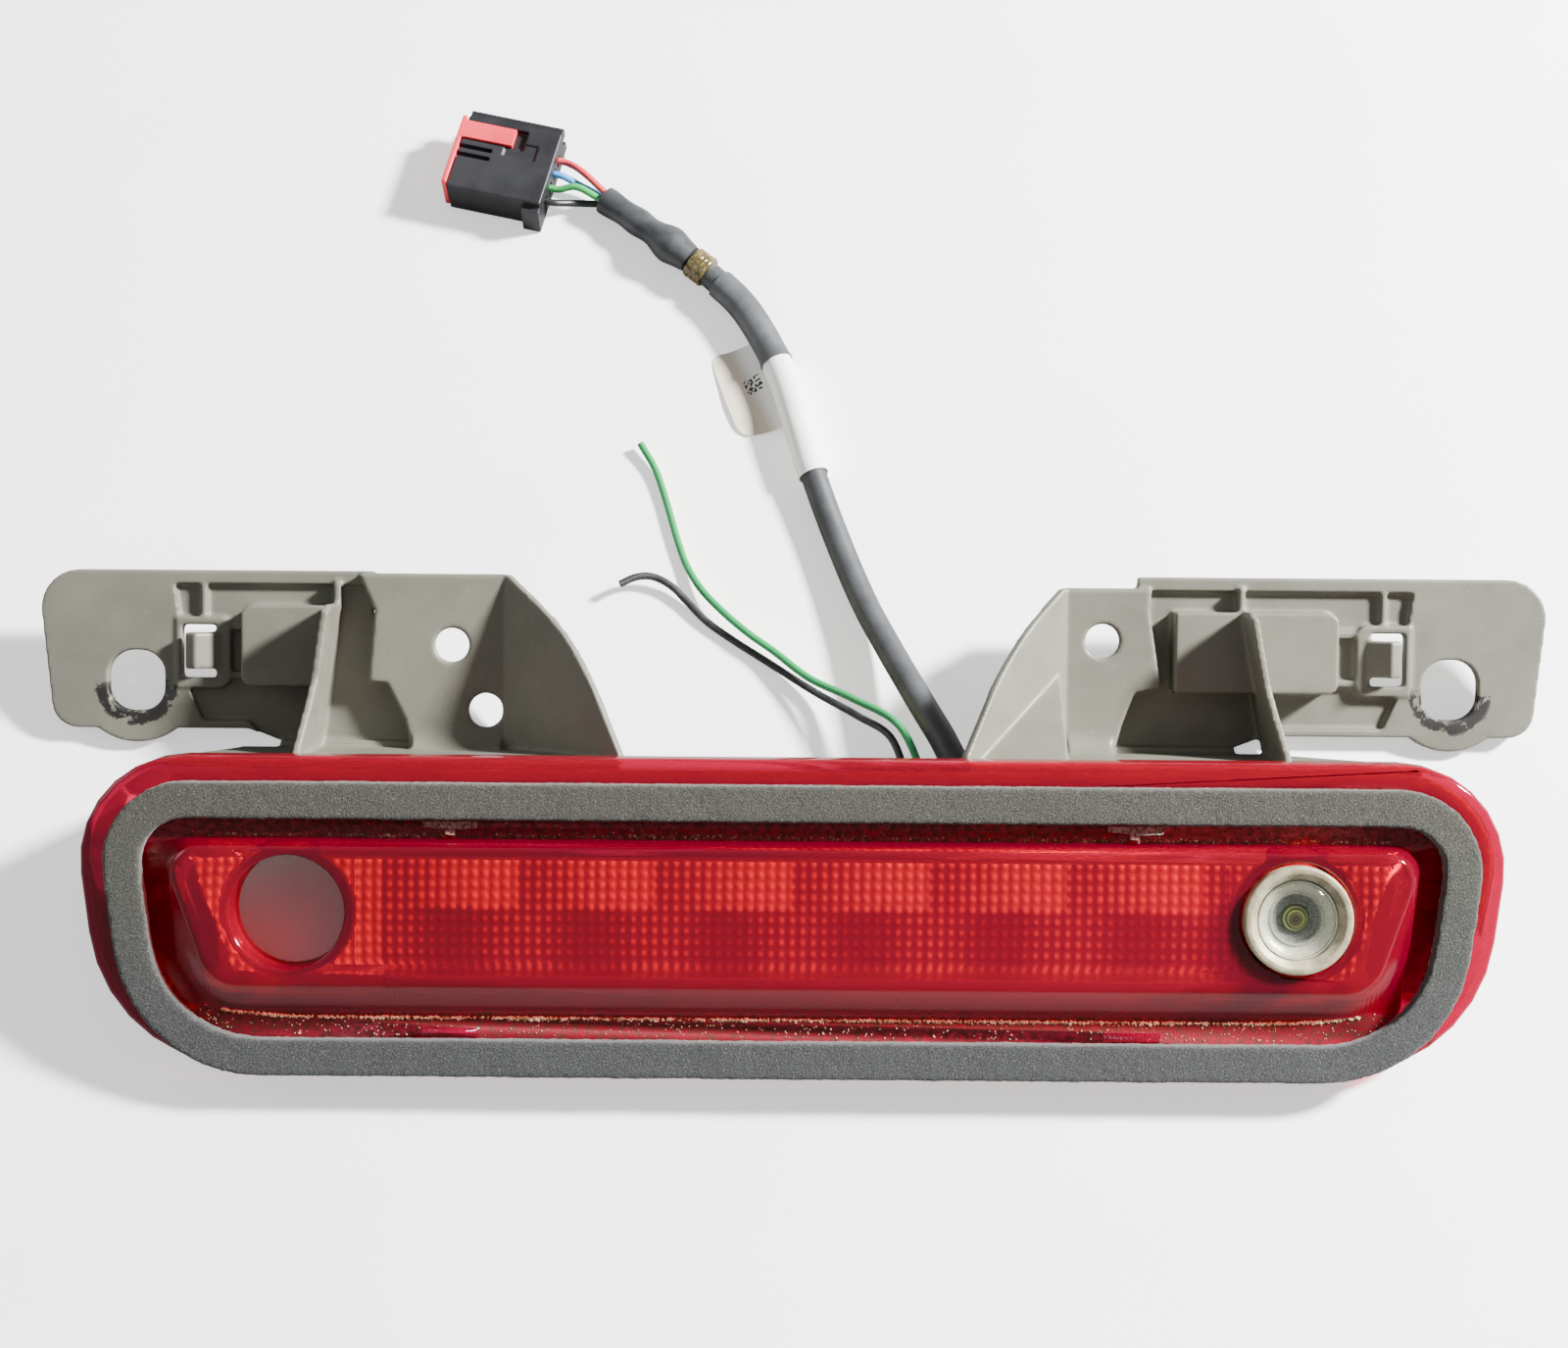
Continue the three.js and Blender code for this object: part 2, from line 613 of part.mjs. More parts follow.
const domeRise = 2.2;
const domeFoot = bezelFront - 2.4;
const dome = [];
const inside = [];
for (let step = 0; step <= 6; step += 1) {
  const share = step / 6;
  const height = Math.sqrt(1 - share * share);
  dome.unshift([glassRadius * share, domeFoot + domeRise * height + 0.4]);
  inside.push([(glassRadius - 0.9) * share, domeFoot + (domeRise - 0.7) * height]);
}
place(turned(portX, portY, [...dome.slice(0, -1), dome.at(-1), ...inside, [glassRadius, domeFoot]].map(([r, z]) => [r, z])),
  "camera_glass", material("#dfe6e4", 0.05));

place(
  turned(portX, portY, [[0, -2], [barrelRadius, -2], [barrelRadius, 3.6], [barrelRadius - 1, 4.6], [5.9, 4.6],
    [3.7, 2.8], [0, 2.8]]),
  "camera_barrel", black());
place(turned(portX, portY, [[0, 2.8 + gap], [3.3, 2.8 + gap], [2.6, 4.1], [1.4, 4.8], [0, 5]], 24),
  "camera_front_element", material("#6c7036", 0.05));
place(
  turned(portX, portY, [[portRadius - 0.3, camFlangeFront + gap], [portRadius + collarWall, camFlangeFront + gap],
    [portRadius + collarWall, collarBack - gap], [portRadius - 0.3, collarBack - gap]]),
  "camera_seal", material("#2a2a2a", 0.9));

const [camHalfX, camHalfY] = camBodyHalf;
function cameraBody() {
  const [flangeX, flangeY] = tunnelHalf.map((half) => half - wall - 1.4);
  const flange = slab(outline([
    [portX - flangeX, portY - flangeY, 3], [portX + flangeX, portY - flangeY, 3],
    [portX + flangeX, portY + flangeY, 3], [portX - flangeX, portY + flangeY, 3],
  ], 4), camFlangeBack, camFlangeFront);
  const body = block(portX - camHalfX, portX + camHalfX, portY - camHalfY, portY + camHalfY, camBodyBack,
    camFlangeBack + overlap);
  const neck = rod(portX, portY, bezelRadius - 1.9 - gap, camFlangeFront - overlap, -2 - gap, 32);
  const hollow = block(portX - camHalfX + 1.6, portX + camHalfX - 1.6, portY - camHalfY + 1.6, portY + camHalfY - 1.6,
    camBodyBack - 1, camFlangeBack - 0.5);
  let housing = union(flange, body, neck).subtract(hollow);
  housing = housing.subtract(rod(portX, portY, 4, camFlangeBack - 2, 0, 24));
  for (const sign of [-1, 1]) {
    const [dx, dy] = camScrewAt;
    housing = housing.subtract(rod(portX + sign * dx, portY + sign * dy, screwRadius + gap, camFlangeBack - 1,
      camFlangeFront + 1, 16));
  }
  return housing;
}
place(cameraBody(), "camera_body", black());
place(block(portX - camHalfX + 1.9, portX + camHalfX - 1.9, portY - camHalfY + 1.9, portY + camHalfY - 1.9,
  camFlangeBack - 0.5 - gap - 1.2, camFlangeBack - 0.5 - gap), "sensor_board", material("#1f5a38", 0.5));
place(block(portX - camHalfX, portX + camHalfX, portY - camHalfY, portY + camHalfY, camBodyBack - gap - 1.6,
  camBodyBack - gap), "camera_back", black());
const camBack = camBodyBack - gap - 1.6;
for (const sign of [-1, 1]) {
  const [dx, dy] = camScrewAt;
  const [x, y] = [portX + sign * dx, portY + sign * dy];
  const head = rod(x, y, screwHeadRadius - 0.2, camFlangeBack - gap - 1.6, camFlangeBack - gap, 16);
  const screw = head.add(rod(x, y, screwRadius, camFlangeBack - gap - overlap, collarBack - 0.4, 16));
  place(screw, `camera_screw_${sign < 0 ? 1 : 2}`, material("#b8bcc0", 0.3, 1));
}
const reliefY = portY + 6.5;
const reliefFace = portX - 7;
const cableZ = camBack - gap - cableRadius - 0.9;
place(slab(outline([
  [reliefFace, reliefY - cableRadius - 1.2, 1.5], [portX + 6, reliefY - cableRadius - 1.2, 2.5],
  [portX + 6, reliefY + cableRadius + 1.2, 2.5], [reliefFace, reliefY + cableRadius + 1.2, 1.5],
], 4), cableZ - cableRadius - 0.9, camBack - gap), "cable_strain_relief", material("#242526", 0.8));

// ---------------------------------------------------------------- cable, label and sleeves, in ground axes
function tube(points, radius, steps, sides, bore = 0) {
  const ring = (size) => Array.from({ length: sides }, (_, i) => {
    const angle = (2 * Math.PI * i) / sides;
    return new THREE.Vector2(size * Math.cos(angle), size * Math.sin(angle));
  });
  const section = new THREE.Shape(ring(radius));
  if (bore) section.holes.push(new THREE.Path(ring(bore).reverse()));
  const path = new THREE.CatmullRomCurve3(points, false, "centripetal");
  return solid(new THREE.ExtrudeGeometry(section, { steps, extrudePath: path, bevelEnabled: false }));
}

const v = (x, y, z) => new THREE.Vector3(x, y, z);
const cableRoute = [
  onGround(reliefFace - 2 * gap, reliefY, cableZ),
  onGround(96, 9.5, cableZ),
  onGround(80, 14, cableZ - 1.2),
  onGround(63, 22, cableZ - 1.6),
  v(43.5, 9.5, 14.5),
  v(35.5, 24, 12.5),
  v(29.2, 37, 9.5),
  v(23.4, 49.5, 6.6),
  v(17.6, 62.5, cableRadius + 1.15),
  v(10.2, 82.5, cableRadius + 0.25),
  v(4.4, 100, cableRadius + 0.85),
  v(1.6, 110.2, cableRadius + 1.05),
  v(-2.9, 126, cableRadius + 1.05),
  v(-8, 138, cableRadius + 1.05),
  v(-14.5, 149, cableRadius + 1.05),
  v(-22.8, 157.6, cableRadius + 1.35),
];
const cable = new THREE.CatmullRomCurve3(cableRoute, false, "centripetal");
const stretchOf = (from, to, count) =>
  Array.from({ length: count }, (_, i) => cable.getPointAt(from + ((to - from) * i) / (count - 1)));

place(tube(cableRoute, cableRadius, 30, 10), "camera_cable", material("#66686a", 0.6), object);

const labelFrom = 0.715;
const labelTo = 0.855;
const labelWrap = tube(stretchOf(labelFrom, labelTo, 6), labelRadius, 8, 16, cableRadius + gap);
// The label's loose end lies on the ground beside the cable
function labelFlag() {
  const points = [[-11.4, 137.4], [-20.2, 137, 2.5], [-24.2, 133, 3], [-15.6, 112.4, 3.5], [-11, 109.6, 3],
    [-1.4, 112.4], [-6, 131]];
  return slab(outline(points, 3), 0.35, 0.75);
}
place(labelWrap.add(labelFlag()), "cable_label", material("#f4f1ea", 0.6), object);
place(tube(stretchOf(0.872, 0.985, 6), sleeveRadius + 0.1, 8, 12, cableRadius + gap), "cable_sleeve",
  material("#5c5e60", 0.65), object);

const bulgeHeight = bulgeRadius + 0.3;
const bootRoute = [v(-28.2, 162, bulgeHeight), v(-33, 166, bulgeHeight), v(-38.6, 171, bootRadius + 1.2),
  v(-44.5, 176, bootRadius + 0.5), v(-51.8, 181.6, bootRadius + 0.3)];
const bulge = new THREE.SphereGeometry(1, 14, 10);
bulge.scale(bulgeRadius + 2.6, bulgeRadius, bulgeRadius - 0.1);
bulge.rotateZ(Math.atan2(5, -6));
bulge.translate(-34.2, 167, bulgeHeight);
place(tube(bootRoute, bootRadius, 10, 12).add(solid(bulge)), "shrink_boot", material("#4c4e50", 0.7), object);
const glueRoute = [v(-23.4, 158.2, cableRadius + 1.45), v(-25.4, 159.8, cableRadius + 1.65),
  v(-27.6, 161.6, cableRadius + 1.95)];
place(tube(glueRoute, sleeveRadius + 0.4, 4, 12), "glue_ring", material("#7d6a3a", 0.3), object);

// ---------------------------------------------------------------- connector and its wires
const plug = new THREE.Group();
plug.position.set(...plugAt, gap);
plug.rotation.z = plugTurn;
object.add(plug);
plug.updateMatrixWorld(true);
const onPlug = (x, y, z) => new THREE.Vector3(x, y, z).applyMatrix4(plug.matrixWorld);
const plugFace = -plugLength / 2;
const plugRear = plugLength / 2;
const wayY = [-6.6, -2.2, 2.2, 6.6];
const wayZ = 5;
const tongue = { from: plugFace, to: plugFace + 14, y: plugWidth / 2 - 4.6, width: 5.4, height: 1.6 };

function connectorHousing() {
  let body = block(plugFace, plugRear, -plugWidth / 2, plugWidth / 2, 0, plugHeight);
  // rail along the top edge and the foot at the rear lower corner
  body = body.add(block(plugFace, plugRear, plugWidth / 2 - overlap, plugWidth / 2 + 2.4, 1, 4));
  body = body.add(block(plugFace, plugRear, plugWidth / 2 - overlap, plugWidth / 2 + 2.4, 7, plugHeight - 1));
  body = body.add(block(plugRear - 5, plugRear, -plugWidth / 2 - 2, -plugWidth / 2 + overlap, 0, plugHeight - 2));
  // polarising slots on the top face, cut in from the mating face
  for (const y of [1.6, -1]) {
    body = body.subtract(block(plugFace - 1, plugFace + 9, y - 0.6, y + 0.6, plugHeight - 1.6, plugHeight + 1));
  }
  body = body.subtract(block(plugFace + 12, plugRear - 5, 1, 6, plugHeight - 0.6, plugHeight + 1));
  // channel of the lock's tongue
  body = body.subtract(block(plugFace - 1, tongue.to + 3.2, tongue.y - tongue.width / 2 - gap,
    tongue.y + tongue.width / 2 + gap, plugHeight - tongue.height, plugHeight + 1));
  // wire ways, open at the rear
  for (const y of wayY) {
    body = body.subtract(block(plugFace + 3, plugRear + 1, y - 1.35, y + 1.35, wayZ - 1.35, wayZ + 1.35));
  }
  return body;
}

function connectorLock() {
  const face = block(plugFace - gap - lockPlate, plugFace - gap, -plugWidth / 2 + 0.6, plugWidth / 2 - 0.6, 0.6,
    plugHeight + 0.6);
  const slide = block(plugFace - gap - lockPlate, tongue.to, tongue.y - tongue.width / 2,
    tongue.y + tongue.width / 2, plugHeight - tongue.height + gap, plugHeight + 0.6);
  return face.add(slide);
}

place(connectorHousing(), "connector_housing", material("#2a2a2c", 0.55), plug);
place(connectorLock(), "connector_lock", material("#dc4450", 0.45), plug);
wayY.forEach((y, i) => {
  place(block(plugFace + 3.4, plugRear - 2.4, y - 1, y + 1, wayZ - 1, wayZ + 1), `terminal_${i + 1}`,
    material("#c9b37a", 0.35, 1), plug);
});

const bootEnd = bootRoute.at(-1);
const bootWay = bootEnd.clone().sub(bootRoute.at(-2)).normalize();
const bootSide = bootWay.clone().cross(alongZ).normalize();
const bundleHalf = 1.25;
const wires = [
  { name: "wire_red", color: "#e05555", way: 3, side: 1, up: 1, mid: v(-58.4, 189.4, 6.2) },
  { name: "wire_blue", color: "#4f94d6", way: 2, side: 1, up: -1, mid: v(-58.8, 186.6, 3.4) },
  { name: "wire_green", color: "#3fa558", way: 1, side: -1, up: 1, mid: v(-59.8, 184.2, 6.4) },
  { name: "wire_black", color: "#262628", way: 0, side: -1, up: -1, mid: v(-60.4, 181.2, 3) },
];
for (const { name, color, way, side, up, mid } of wires) {
  const start = onPlug(plugRear - 2.1, wayY[way], wayZ);
  const out = onPlug(plugRear + 2.2, wayY[way], wayZ);
  const end = bootEnd.clone().addScaledVector(bootWay, 3 * gap).addScaledVector(bootSide, side * bundleHalf);
  end.z += up * bundleHalf;
  place(tube([start, out, mid, end], smallWire / 2, 10, 8), name, material(color, 0.5), object);
}

// ---------------------------------------------------------------- cut supply wires of the LEDs
const grommetFace = trayBack - 2 - 3 * gap;
const blackRoute = [
  onGround(grommetAt[0] - 1.6, grommetAt[1], grommetFace),
  onGround(grommetAt[0] - 3.4, grommetAt[1] + 4, grommetFace - 3.5),
  v(24, 22.5, 11.5), v(16, 30, 7), v(6, 37.6, 3), v(-7.3, 47.3, 1.3), v(-16, 53.2, 1.3), v(-22.3, 58, 1.4),
  v(-27.4, 63.4, 1.8), v(-31.4, 67.2, 2.6), v(-36.2, 69.2, 3.6), v(-40.2, 68.6, 4.4), v(-44, 66.4, 5),
];
const greenRoute = [
  onGround(grommetAt[0] + 1.6, grommetAt[1], grommetFace),
  onGround(grommetAt[0] + 0.4, grommetAt[1] + 5, grommetFace - 2.4),
  v(26, 24.5, 14.2), v(15, 33.4, 9.6), v(4, 40.6, 5.6), v(-5, 48.6, 4), v(-11.6, 53.6, 4), v(-18, 59.6, 3.6),
  v(-23.6, 66.4, 2.4), v(-27.4, 73.4, 1.4), v(-29.7, 80, 1.3), v(-31.6, 86.6, 1.3), v(-33.6, 93.6, 1.3),
  v(-36.2, 101, 1.6), v(-40.2, 108, 2.4),
];
place(tube(blackRoute, smallWire / 2, 36, 8), "led_wire_black", material("#2a2a2c", 0.5), object);
place(tube(greenRoute, smallWire / 2, 42, 8), "led_wire_green", material("#2f8f52", 0.5), object);

export default object;
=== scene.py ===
"""Third brake light with a reversing camera, its cable and connector, lying on its lens edge and brackets."""

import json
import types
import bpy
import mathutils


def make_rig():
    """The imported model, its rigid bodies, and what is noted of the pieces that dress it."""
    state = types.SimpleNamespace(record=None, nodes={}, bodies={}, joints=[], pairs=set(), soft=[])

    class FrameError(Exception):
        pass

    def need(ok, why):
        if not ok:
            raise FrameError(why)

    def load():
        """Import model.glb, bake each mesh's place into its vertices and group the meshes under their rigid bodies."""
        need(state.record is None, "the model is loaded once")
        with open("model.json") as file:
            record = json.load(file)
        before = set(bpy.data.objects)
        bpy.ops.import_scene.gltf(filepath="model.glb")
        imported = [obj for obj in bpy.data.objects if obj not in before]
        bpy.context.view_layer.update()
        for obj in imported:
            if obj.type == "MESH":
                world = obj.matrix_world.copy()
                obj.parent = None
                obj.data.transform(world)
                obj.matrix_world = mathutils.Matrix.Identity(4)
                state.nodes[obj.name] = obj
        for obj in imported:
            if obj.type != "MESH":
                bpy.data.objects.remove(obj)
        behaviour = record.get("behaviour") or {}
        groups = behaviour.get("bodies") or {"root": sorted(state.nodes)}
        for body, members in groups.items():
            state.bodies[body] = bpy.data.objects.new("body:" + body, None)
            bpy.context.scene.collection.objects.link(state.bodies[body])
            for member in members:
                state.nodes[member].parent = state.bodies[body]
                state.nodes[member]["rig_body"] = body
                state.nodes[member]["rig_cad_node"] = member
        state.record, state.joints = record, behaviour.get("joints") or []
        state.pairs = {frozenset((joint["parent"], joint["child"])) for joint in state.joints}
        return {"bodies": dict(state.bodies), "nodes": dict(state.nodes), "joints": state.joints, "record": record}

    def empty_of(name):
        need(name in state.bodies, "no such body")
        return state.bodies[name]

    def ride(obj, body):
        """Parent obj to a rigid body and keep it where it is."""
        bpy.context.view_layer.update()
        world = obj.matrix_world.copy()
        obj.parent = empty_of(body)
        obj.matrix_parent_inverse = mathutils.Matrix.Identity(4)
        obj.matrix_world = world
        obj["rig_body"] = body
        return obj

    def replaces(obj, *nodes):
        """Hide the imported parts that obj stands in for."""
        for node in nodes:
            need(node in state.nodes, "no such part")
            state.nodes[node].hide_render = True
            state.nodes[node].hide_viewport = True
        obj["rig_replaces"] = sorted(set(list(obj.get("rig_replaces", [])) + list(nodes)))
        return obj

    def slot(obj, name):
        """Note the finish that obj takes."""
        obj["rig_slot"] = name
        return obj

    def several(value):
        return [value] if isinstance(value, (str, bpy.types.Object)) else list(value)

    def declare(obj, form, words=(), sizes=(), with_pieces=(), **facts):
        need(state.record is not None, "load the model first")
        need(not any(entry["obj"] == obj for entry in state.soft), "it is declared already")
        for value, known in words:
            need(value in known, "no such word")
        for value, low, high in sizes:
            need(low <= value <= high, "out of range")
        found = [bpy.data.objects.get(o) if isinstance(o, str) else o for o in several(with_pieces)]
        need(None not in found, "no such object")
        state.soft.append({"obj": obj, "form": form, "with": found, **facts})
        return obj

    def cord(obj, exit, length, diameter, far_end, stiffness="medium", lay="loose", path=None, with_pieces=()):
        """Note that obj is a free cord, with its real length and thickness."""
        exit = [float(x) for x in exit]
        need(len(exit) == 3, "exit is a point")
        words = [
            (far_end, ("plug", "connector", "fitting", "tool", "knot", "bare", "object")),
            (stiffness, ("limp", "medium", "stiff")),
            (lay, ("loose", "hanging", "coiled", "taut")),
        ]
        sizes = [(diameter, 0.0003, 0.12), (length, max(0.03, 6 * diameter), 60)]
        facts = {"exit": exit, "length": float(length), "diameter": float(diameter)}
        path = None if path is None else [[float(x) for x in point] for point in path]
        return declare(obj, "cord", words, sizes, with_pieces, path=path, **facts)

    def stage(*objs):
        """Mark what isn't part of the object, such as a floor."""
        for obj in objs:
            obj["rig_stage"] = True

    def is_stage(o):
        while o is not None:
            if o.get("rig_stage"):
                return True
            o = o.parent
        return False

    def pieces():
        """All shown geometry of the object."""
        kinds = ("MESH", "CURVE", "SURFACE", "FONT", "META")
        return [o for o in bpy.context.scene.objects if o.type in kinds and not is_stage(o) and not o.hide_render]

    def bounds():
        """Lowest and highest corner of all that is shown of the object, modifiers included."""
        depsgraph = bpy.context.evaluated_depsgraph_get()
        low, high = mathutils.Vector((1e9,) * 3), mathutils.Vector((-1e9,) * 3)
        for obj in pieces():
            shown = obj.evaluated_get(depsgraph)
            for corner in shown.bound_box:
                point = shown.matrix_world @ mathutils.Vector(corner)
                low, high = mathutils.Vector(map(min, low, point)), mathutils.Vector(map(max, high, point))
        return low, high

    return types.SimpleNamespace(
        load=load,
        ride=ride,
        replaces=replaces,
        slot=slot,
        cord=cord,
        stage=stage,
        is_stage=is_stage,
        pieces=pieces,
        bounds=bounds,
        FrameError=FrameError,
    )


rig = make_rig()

bl_info = {
    "name": "Third brake light",
    "version": (1, 0, 0),
    "blender": (4, 5, 0),
    "location": "View3D > Sidebar > Brake light",
    "description": "Builds the lens, gasket, carrier, camera, cable and connector of a third brake light",
    "category": "Object",
}

import json
import math
import random

import bpy
from bpy.props import FloatProperty, FloatVectorProperty, PointerProperty
from mathutils import Matrix, Vector, noise

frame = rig.load()
CAD_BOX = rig.bounds()
MM = 0.001

# ---------------------------------------------------------------- the lamp's own axes
# Sizes in millimetres: x along the lamp, y up the lens, z out of the lens; z = 0 is the flange's face.
LENS_BOTTOM = -36.0
SKIRT = 8.0
WINDOW_FACE = 7.0
GASKET_BOTTOM = -37.3
GASKET_FACE = 4.5
WING_BACK = -43.5
WING_FRONT = -40.0
WING_TOP = 79.5
LOBE_FOOT = 36.8
BOLT_X = 162.5
PORT_X = 116.5
PORT_Y = 1.5
CELL = 31.7  # one LED's stretch of the lens
# It lies on the skirt's lower edge and on the lobes under the bolt holes.
# The origin is on the ground, midway between its front and its back.
LEAN = math.atan2(-SKIRT - WING_BACK, LOBE_FOOT - LENS_BOTTOM)
LIFT = SKIRT * math.cos(LEAN) - LENS_BOTTOM * math.sin(LEAN)
FRONT_REACH = GASKET_BOTTOM * math.cos(LEAN) - GASKET_FACE * math.sin(LEAN)
BACK_REACH = WING_TOP * math.cos(LEAN) - WING_BACK * math.sin(LEAN)
SHIFT = -(FRONT_REACH + BACK_REACH) / 2
ON_LAMP = Matrix.Translation((0, SHIFT * MM, LIFT * MM)) @ Matrix.Rotation(LEAN, 4, "X")
OFF_LAMP = ON_LAMP.inverted()
PLUG_AT = Matrix.Translation((-0.0789, 0.1896, 0.0003)) @ Matrix.Rotation(math.radians(-13), 4, "Z")


def linear(hex_colour, alpha=None):
    """An sRGB hex colour as linear values."""
    parts = [int(hex_colour[i : i + 2], 16) / 255 for i in (1, 3, 5)]
    parts = [p / 12.92 if p <= 0.04045 else ((p + 0.055) / 1.055) ** 2.4 for p in parts]
    return tuple(parts) if alpha is None else (*parts, alpha)


def in_metres(*point):
    return Vector(point) * MM


def lamp_point(x, y, z):
    return ON_LAMP @ in_metres(x, y, z)


# ---------------------------------------------------------------- sizes and colours that a user may change
def length(name, description, default_mm):
    return FloatProperty(name=name, description=description, default=default_mm * MM,
                         unit="LENGTH", precision=5)


def colour(name, description, hex_colour):
    return FloatVectorProperty(name=name, description=description, size=3, subtype="COLOR",
                               default=linear(hex_colour), min=0, max=1)


class LensSettings(bpy.types.PropertyGroup):
    edge_radius: length("Edge radius", "Rounding of the lens's outer edge", 1.6)
    window_radius: length("Window radius", "Rounding of the raised window's edge", 1.1)
    pillow_width: length("Pillow width", "Pitch of the pillow optics along the lamp", 2.45)
    pillow_height: length("Pillow height", "Pitch of the pillow optics up the lamp", 2.65)
    pillow_rise: length("Pillow rise", "How far one pillow stands out", 0.42)
    dye: colour("Dye", "Colour of the clear red plastic", "#cc0842")
    # the colour of the pillows' painted highlights
    glow: colour("Bright optics", "Colour of the brightest pillows", "#fa1058")


class GasketSettings(bpy.types.PropertyGroup):
    grain: length("Cell size", "Size of the foam's open cells", 0.9)
    roughening: length("Roughening", "Depth of the foam's uneven skin", 0.28)


class CarrierSettings(bpy.types.PropertyGroup):
    mesh_size: length("Mesh size", "Mesh spacing of the moulded brackets", 0.46)
    tray_mesh_size: length("Tray mesh size", "Mesh spacing of the tray", 0.85)
    plastic: colour("Plastic", "Colour of the moulded carrier", "#68675c")


class CableSettings(bpy.types.PropertyGroup):
    diameter: length("Cable diameter", "Outside diameter of the camera's cable", 6.9)
    wire_diameter: length("Wire diameter", "Outside diameter of the single wires", 1.9)


# ---------------------------------------------------------------- materials
# What a step of a finish is: a node type, its settings, the sockets that its values fill in order, and its
# output, where None gives all its outputs. Any other step is the operation of that name on numbers.
STEPS = {
    "object": ("ShaderNodeTexCoord", {}, (), "Object"),
    "place": ("ShaderNodeMapping", {}, ("Vector", "Location", "Rotation", "Scale"), "Vector"),
    "wound": ("ShaderNodeUVMap", {"uv_map": "length_and_turn"}, (), "UV"),
    "parts": ("ShaderNodeSeparateXYZ", {}, ("Vector",), None),
    "speckle": ("ShaderNodeTexNoise", {}, ("Vector", "Scale", "Detail", "Roughness"), "Fac"),
    "squares": ("ShaderNodeTexWhiteNoise", {}, ("Vector",), "Value"),
    "vector": ("ShaderNodeVectorMath", {}, (0, 1), 0),
    "distance": ("ShaderNodeVectorMath", {"operation": "DISTANCE"}, (0, 1), "Value"),
    "fade": ("ShaderNodeMapRange", {"interpolation_type": "SMOOTHSTEP"},
             ("Value", "From Min", "From Max", "To Min", "To Max"), "Result"),
    "ramp": ("ShaderNodeValToRGB", {}, ("Fac",), None),
    "blend": ("ShaderNodeMix", {"data_type": "RGBA"}, (0, 6, 7), 2),
    "grain": ("ShaderNodeBump", {}, ("Height", "Distance", "Strength"), "Normal"),
    "ray": ("ShaderNodeLightPath", {}, (), None),
    "clear": ("ShaderNodeBsdfTransparent", {}, ("Color",), 0),
    "either": ("ShaderNodeMixShader", {}, (0, 1, 2), 0),
}


class Finish:
    """A material in the making, with its shader's own values set at the start."""

    def __init__(self, name, base, roughness, **values):
        self.material = bpy.data.materials.new(name)
        self.material.use_nodes = True
        self.tree = self.material.node_tree
        self.shader = self.tree.nodes["Principled BSDF"]
        self.set(Base_Color=base, Roughness=roughness, **values)
        self.material.diffuse_color = self.shader.inputs["Base Color"].default_value

    def fill(self, socket, value):
        """Links a socket to another node's output, or sets it; a colour may be hex or linear."""
        if isinstance(value, bpy.types.NodeSocket):
            self.tree.links.new(value, socket)
        elif socket.type == "RGBA":
            socket.default_value = linear(value, 1) if isinstance(value, str) else (*value[:3], 1)
        else:
            socket.default_value = value

    def set(self, **values):
        """Fills the shader's sockets, with an underscore for each space in a name."""
        for socket, value in values.items():
            self.fill(self.shader.inputs[socket.replace("_", " ")], value)

    def add(self, step, *values, **settings):
        """Adds one node with its settings and links, and gives its output."""
        on_numbers = ("ShaderNodeMath", {"operation": step.upper()}, (0, 1, 2), 0)
        kind, fixed, sockets, output = STEPS.get(step, on_numbers)
        made = self.tree.nodes.new(kind)
        for name, value in {**fixed, **settings}.items():
            setattr(made, name, value)
        for socket, value in zip(sockets, values):
            self.fill(made.inputs[socket], value)
        return made.outputs if output is None else made.outputs[output]

    def places(self, on_lamp=False, turn=0.0, centre=(0, 0, 0)):
        """Object coordinates in millimetres, in the lamp's own axes or turned about a centre if asked."""
        start = tuple(Matrix.Rotation(turn, 3, "Z") @ Vector(centre) * -1)
        angles = (0, 0, turn)
        if on_lamp:
            start = tuple(OFF_LAMP.to_translation() / MM)
            angles = (-LEAN, 0, 0)
        return self.add("place", self.add("object"), start, angles, (1000, 1000, 1000))

    def off_centre(self, value, centre=0.0):
        """How far a value is from a centre, either way."""
        return self.add("absolute", self.add("subtract", value, centre) if centre else value)

    def from_camera_axis(self):
        """How far a point is from the camera's axis, in millimetres."""
        away = self.add("vector", self.places(on_lamp=True), (PORT_X, PORT_Y, 0), operation="SUBTRACT")
        flat = self.add("vector", away, (1, 1, 0), operation="MULTIPLY")
        return self.add("distance", flat, (0, 0, 0))

    def let_lamps_through(self, tint):
        """Lets the lamps shine through, tinted, on to what is behind."""
        shadow = self.add("ray")["Is Shadow Ray"]
        mixed = self.add("either", shadow, self.shader.outputs[0], self.add("clear", tint))
        self.fill(self.tree.nodes["Material Output"].inputs["Surface"], mixed)


def mottled(name, base, dark, light, size_mm, roughness, detail=3.0, grit=0.5, edges=(0.35, 0.65), grain=None,
            **values):
    """A finish that drifts between two shades in blotches; a grain is its size and depth in millimetres."""
    made = Finish(name, base, roughness, **values)
    add = made.add
    places = made.places()
    drift = add("fade", add("speckle", places, 1 / size_mm, detail, grit), *edges)
    made.set(Base_Color=add("blend", drift, dark, light))
    if grain:
        made.set(Normal=add("grain", add("speckle", places, 1 / grain[0], 3), grain[1] * MM))
    return made.material


def moulded_plastic(name, base, light, dark, roughness, grain_mm=0.6, depth_mm=0.02):
    """Injection-moulded plastic: a fine spark-eroded grain and slight flow shading."""
    return mottled(name, base, dark, light, 14, roughness, grain=(grain_mm, depth_mm))


def jacket_plastic(name, base, light, dark, roughness, size_mm=4.0):
    """Extruded PVC or shrunk polyolefin: satin, rubbed and dusty along its length."""
    return mottled(name, base, dark, light, size_mm, roughness, 4, 0.6, (0.35, 0.68), (0.7, 0.05))


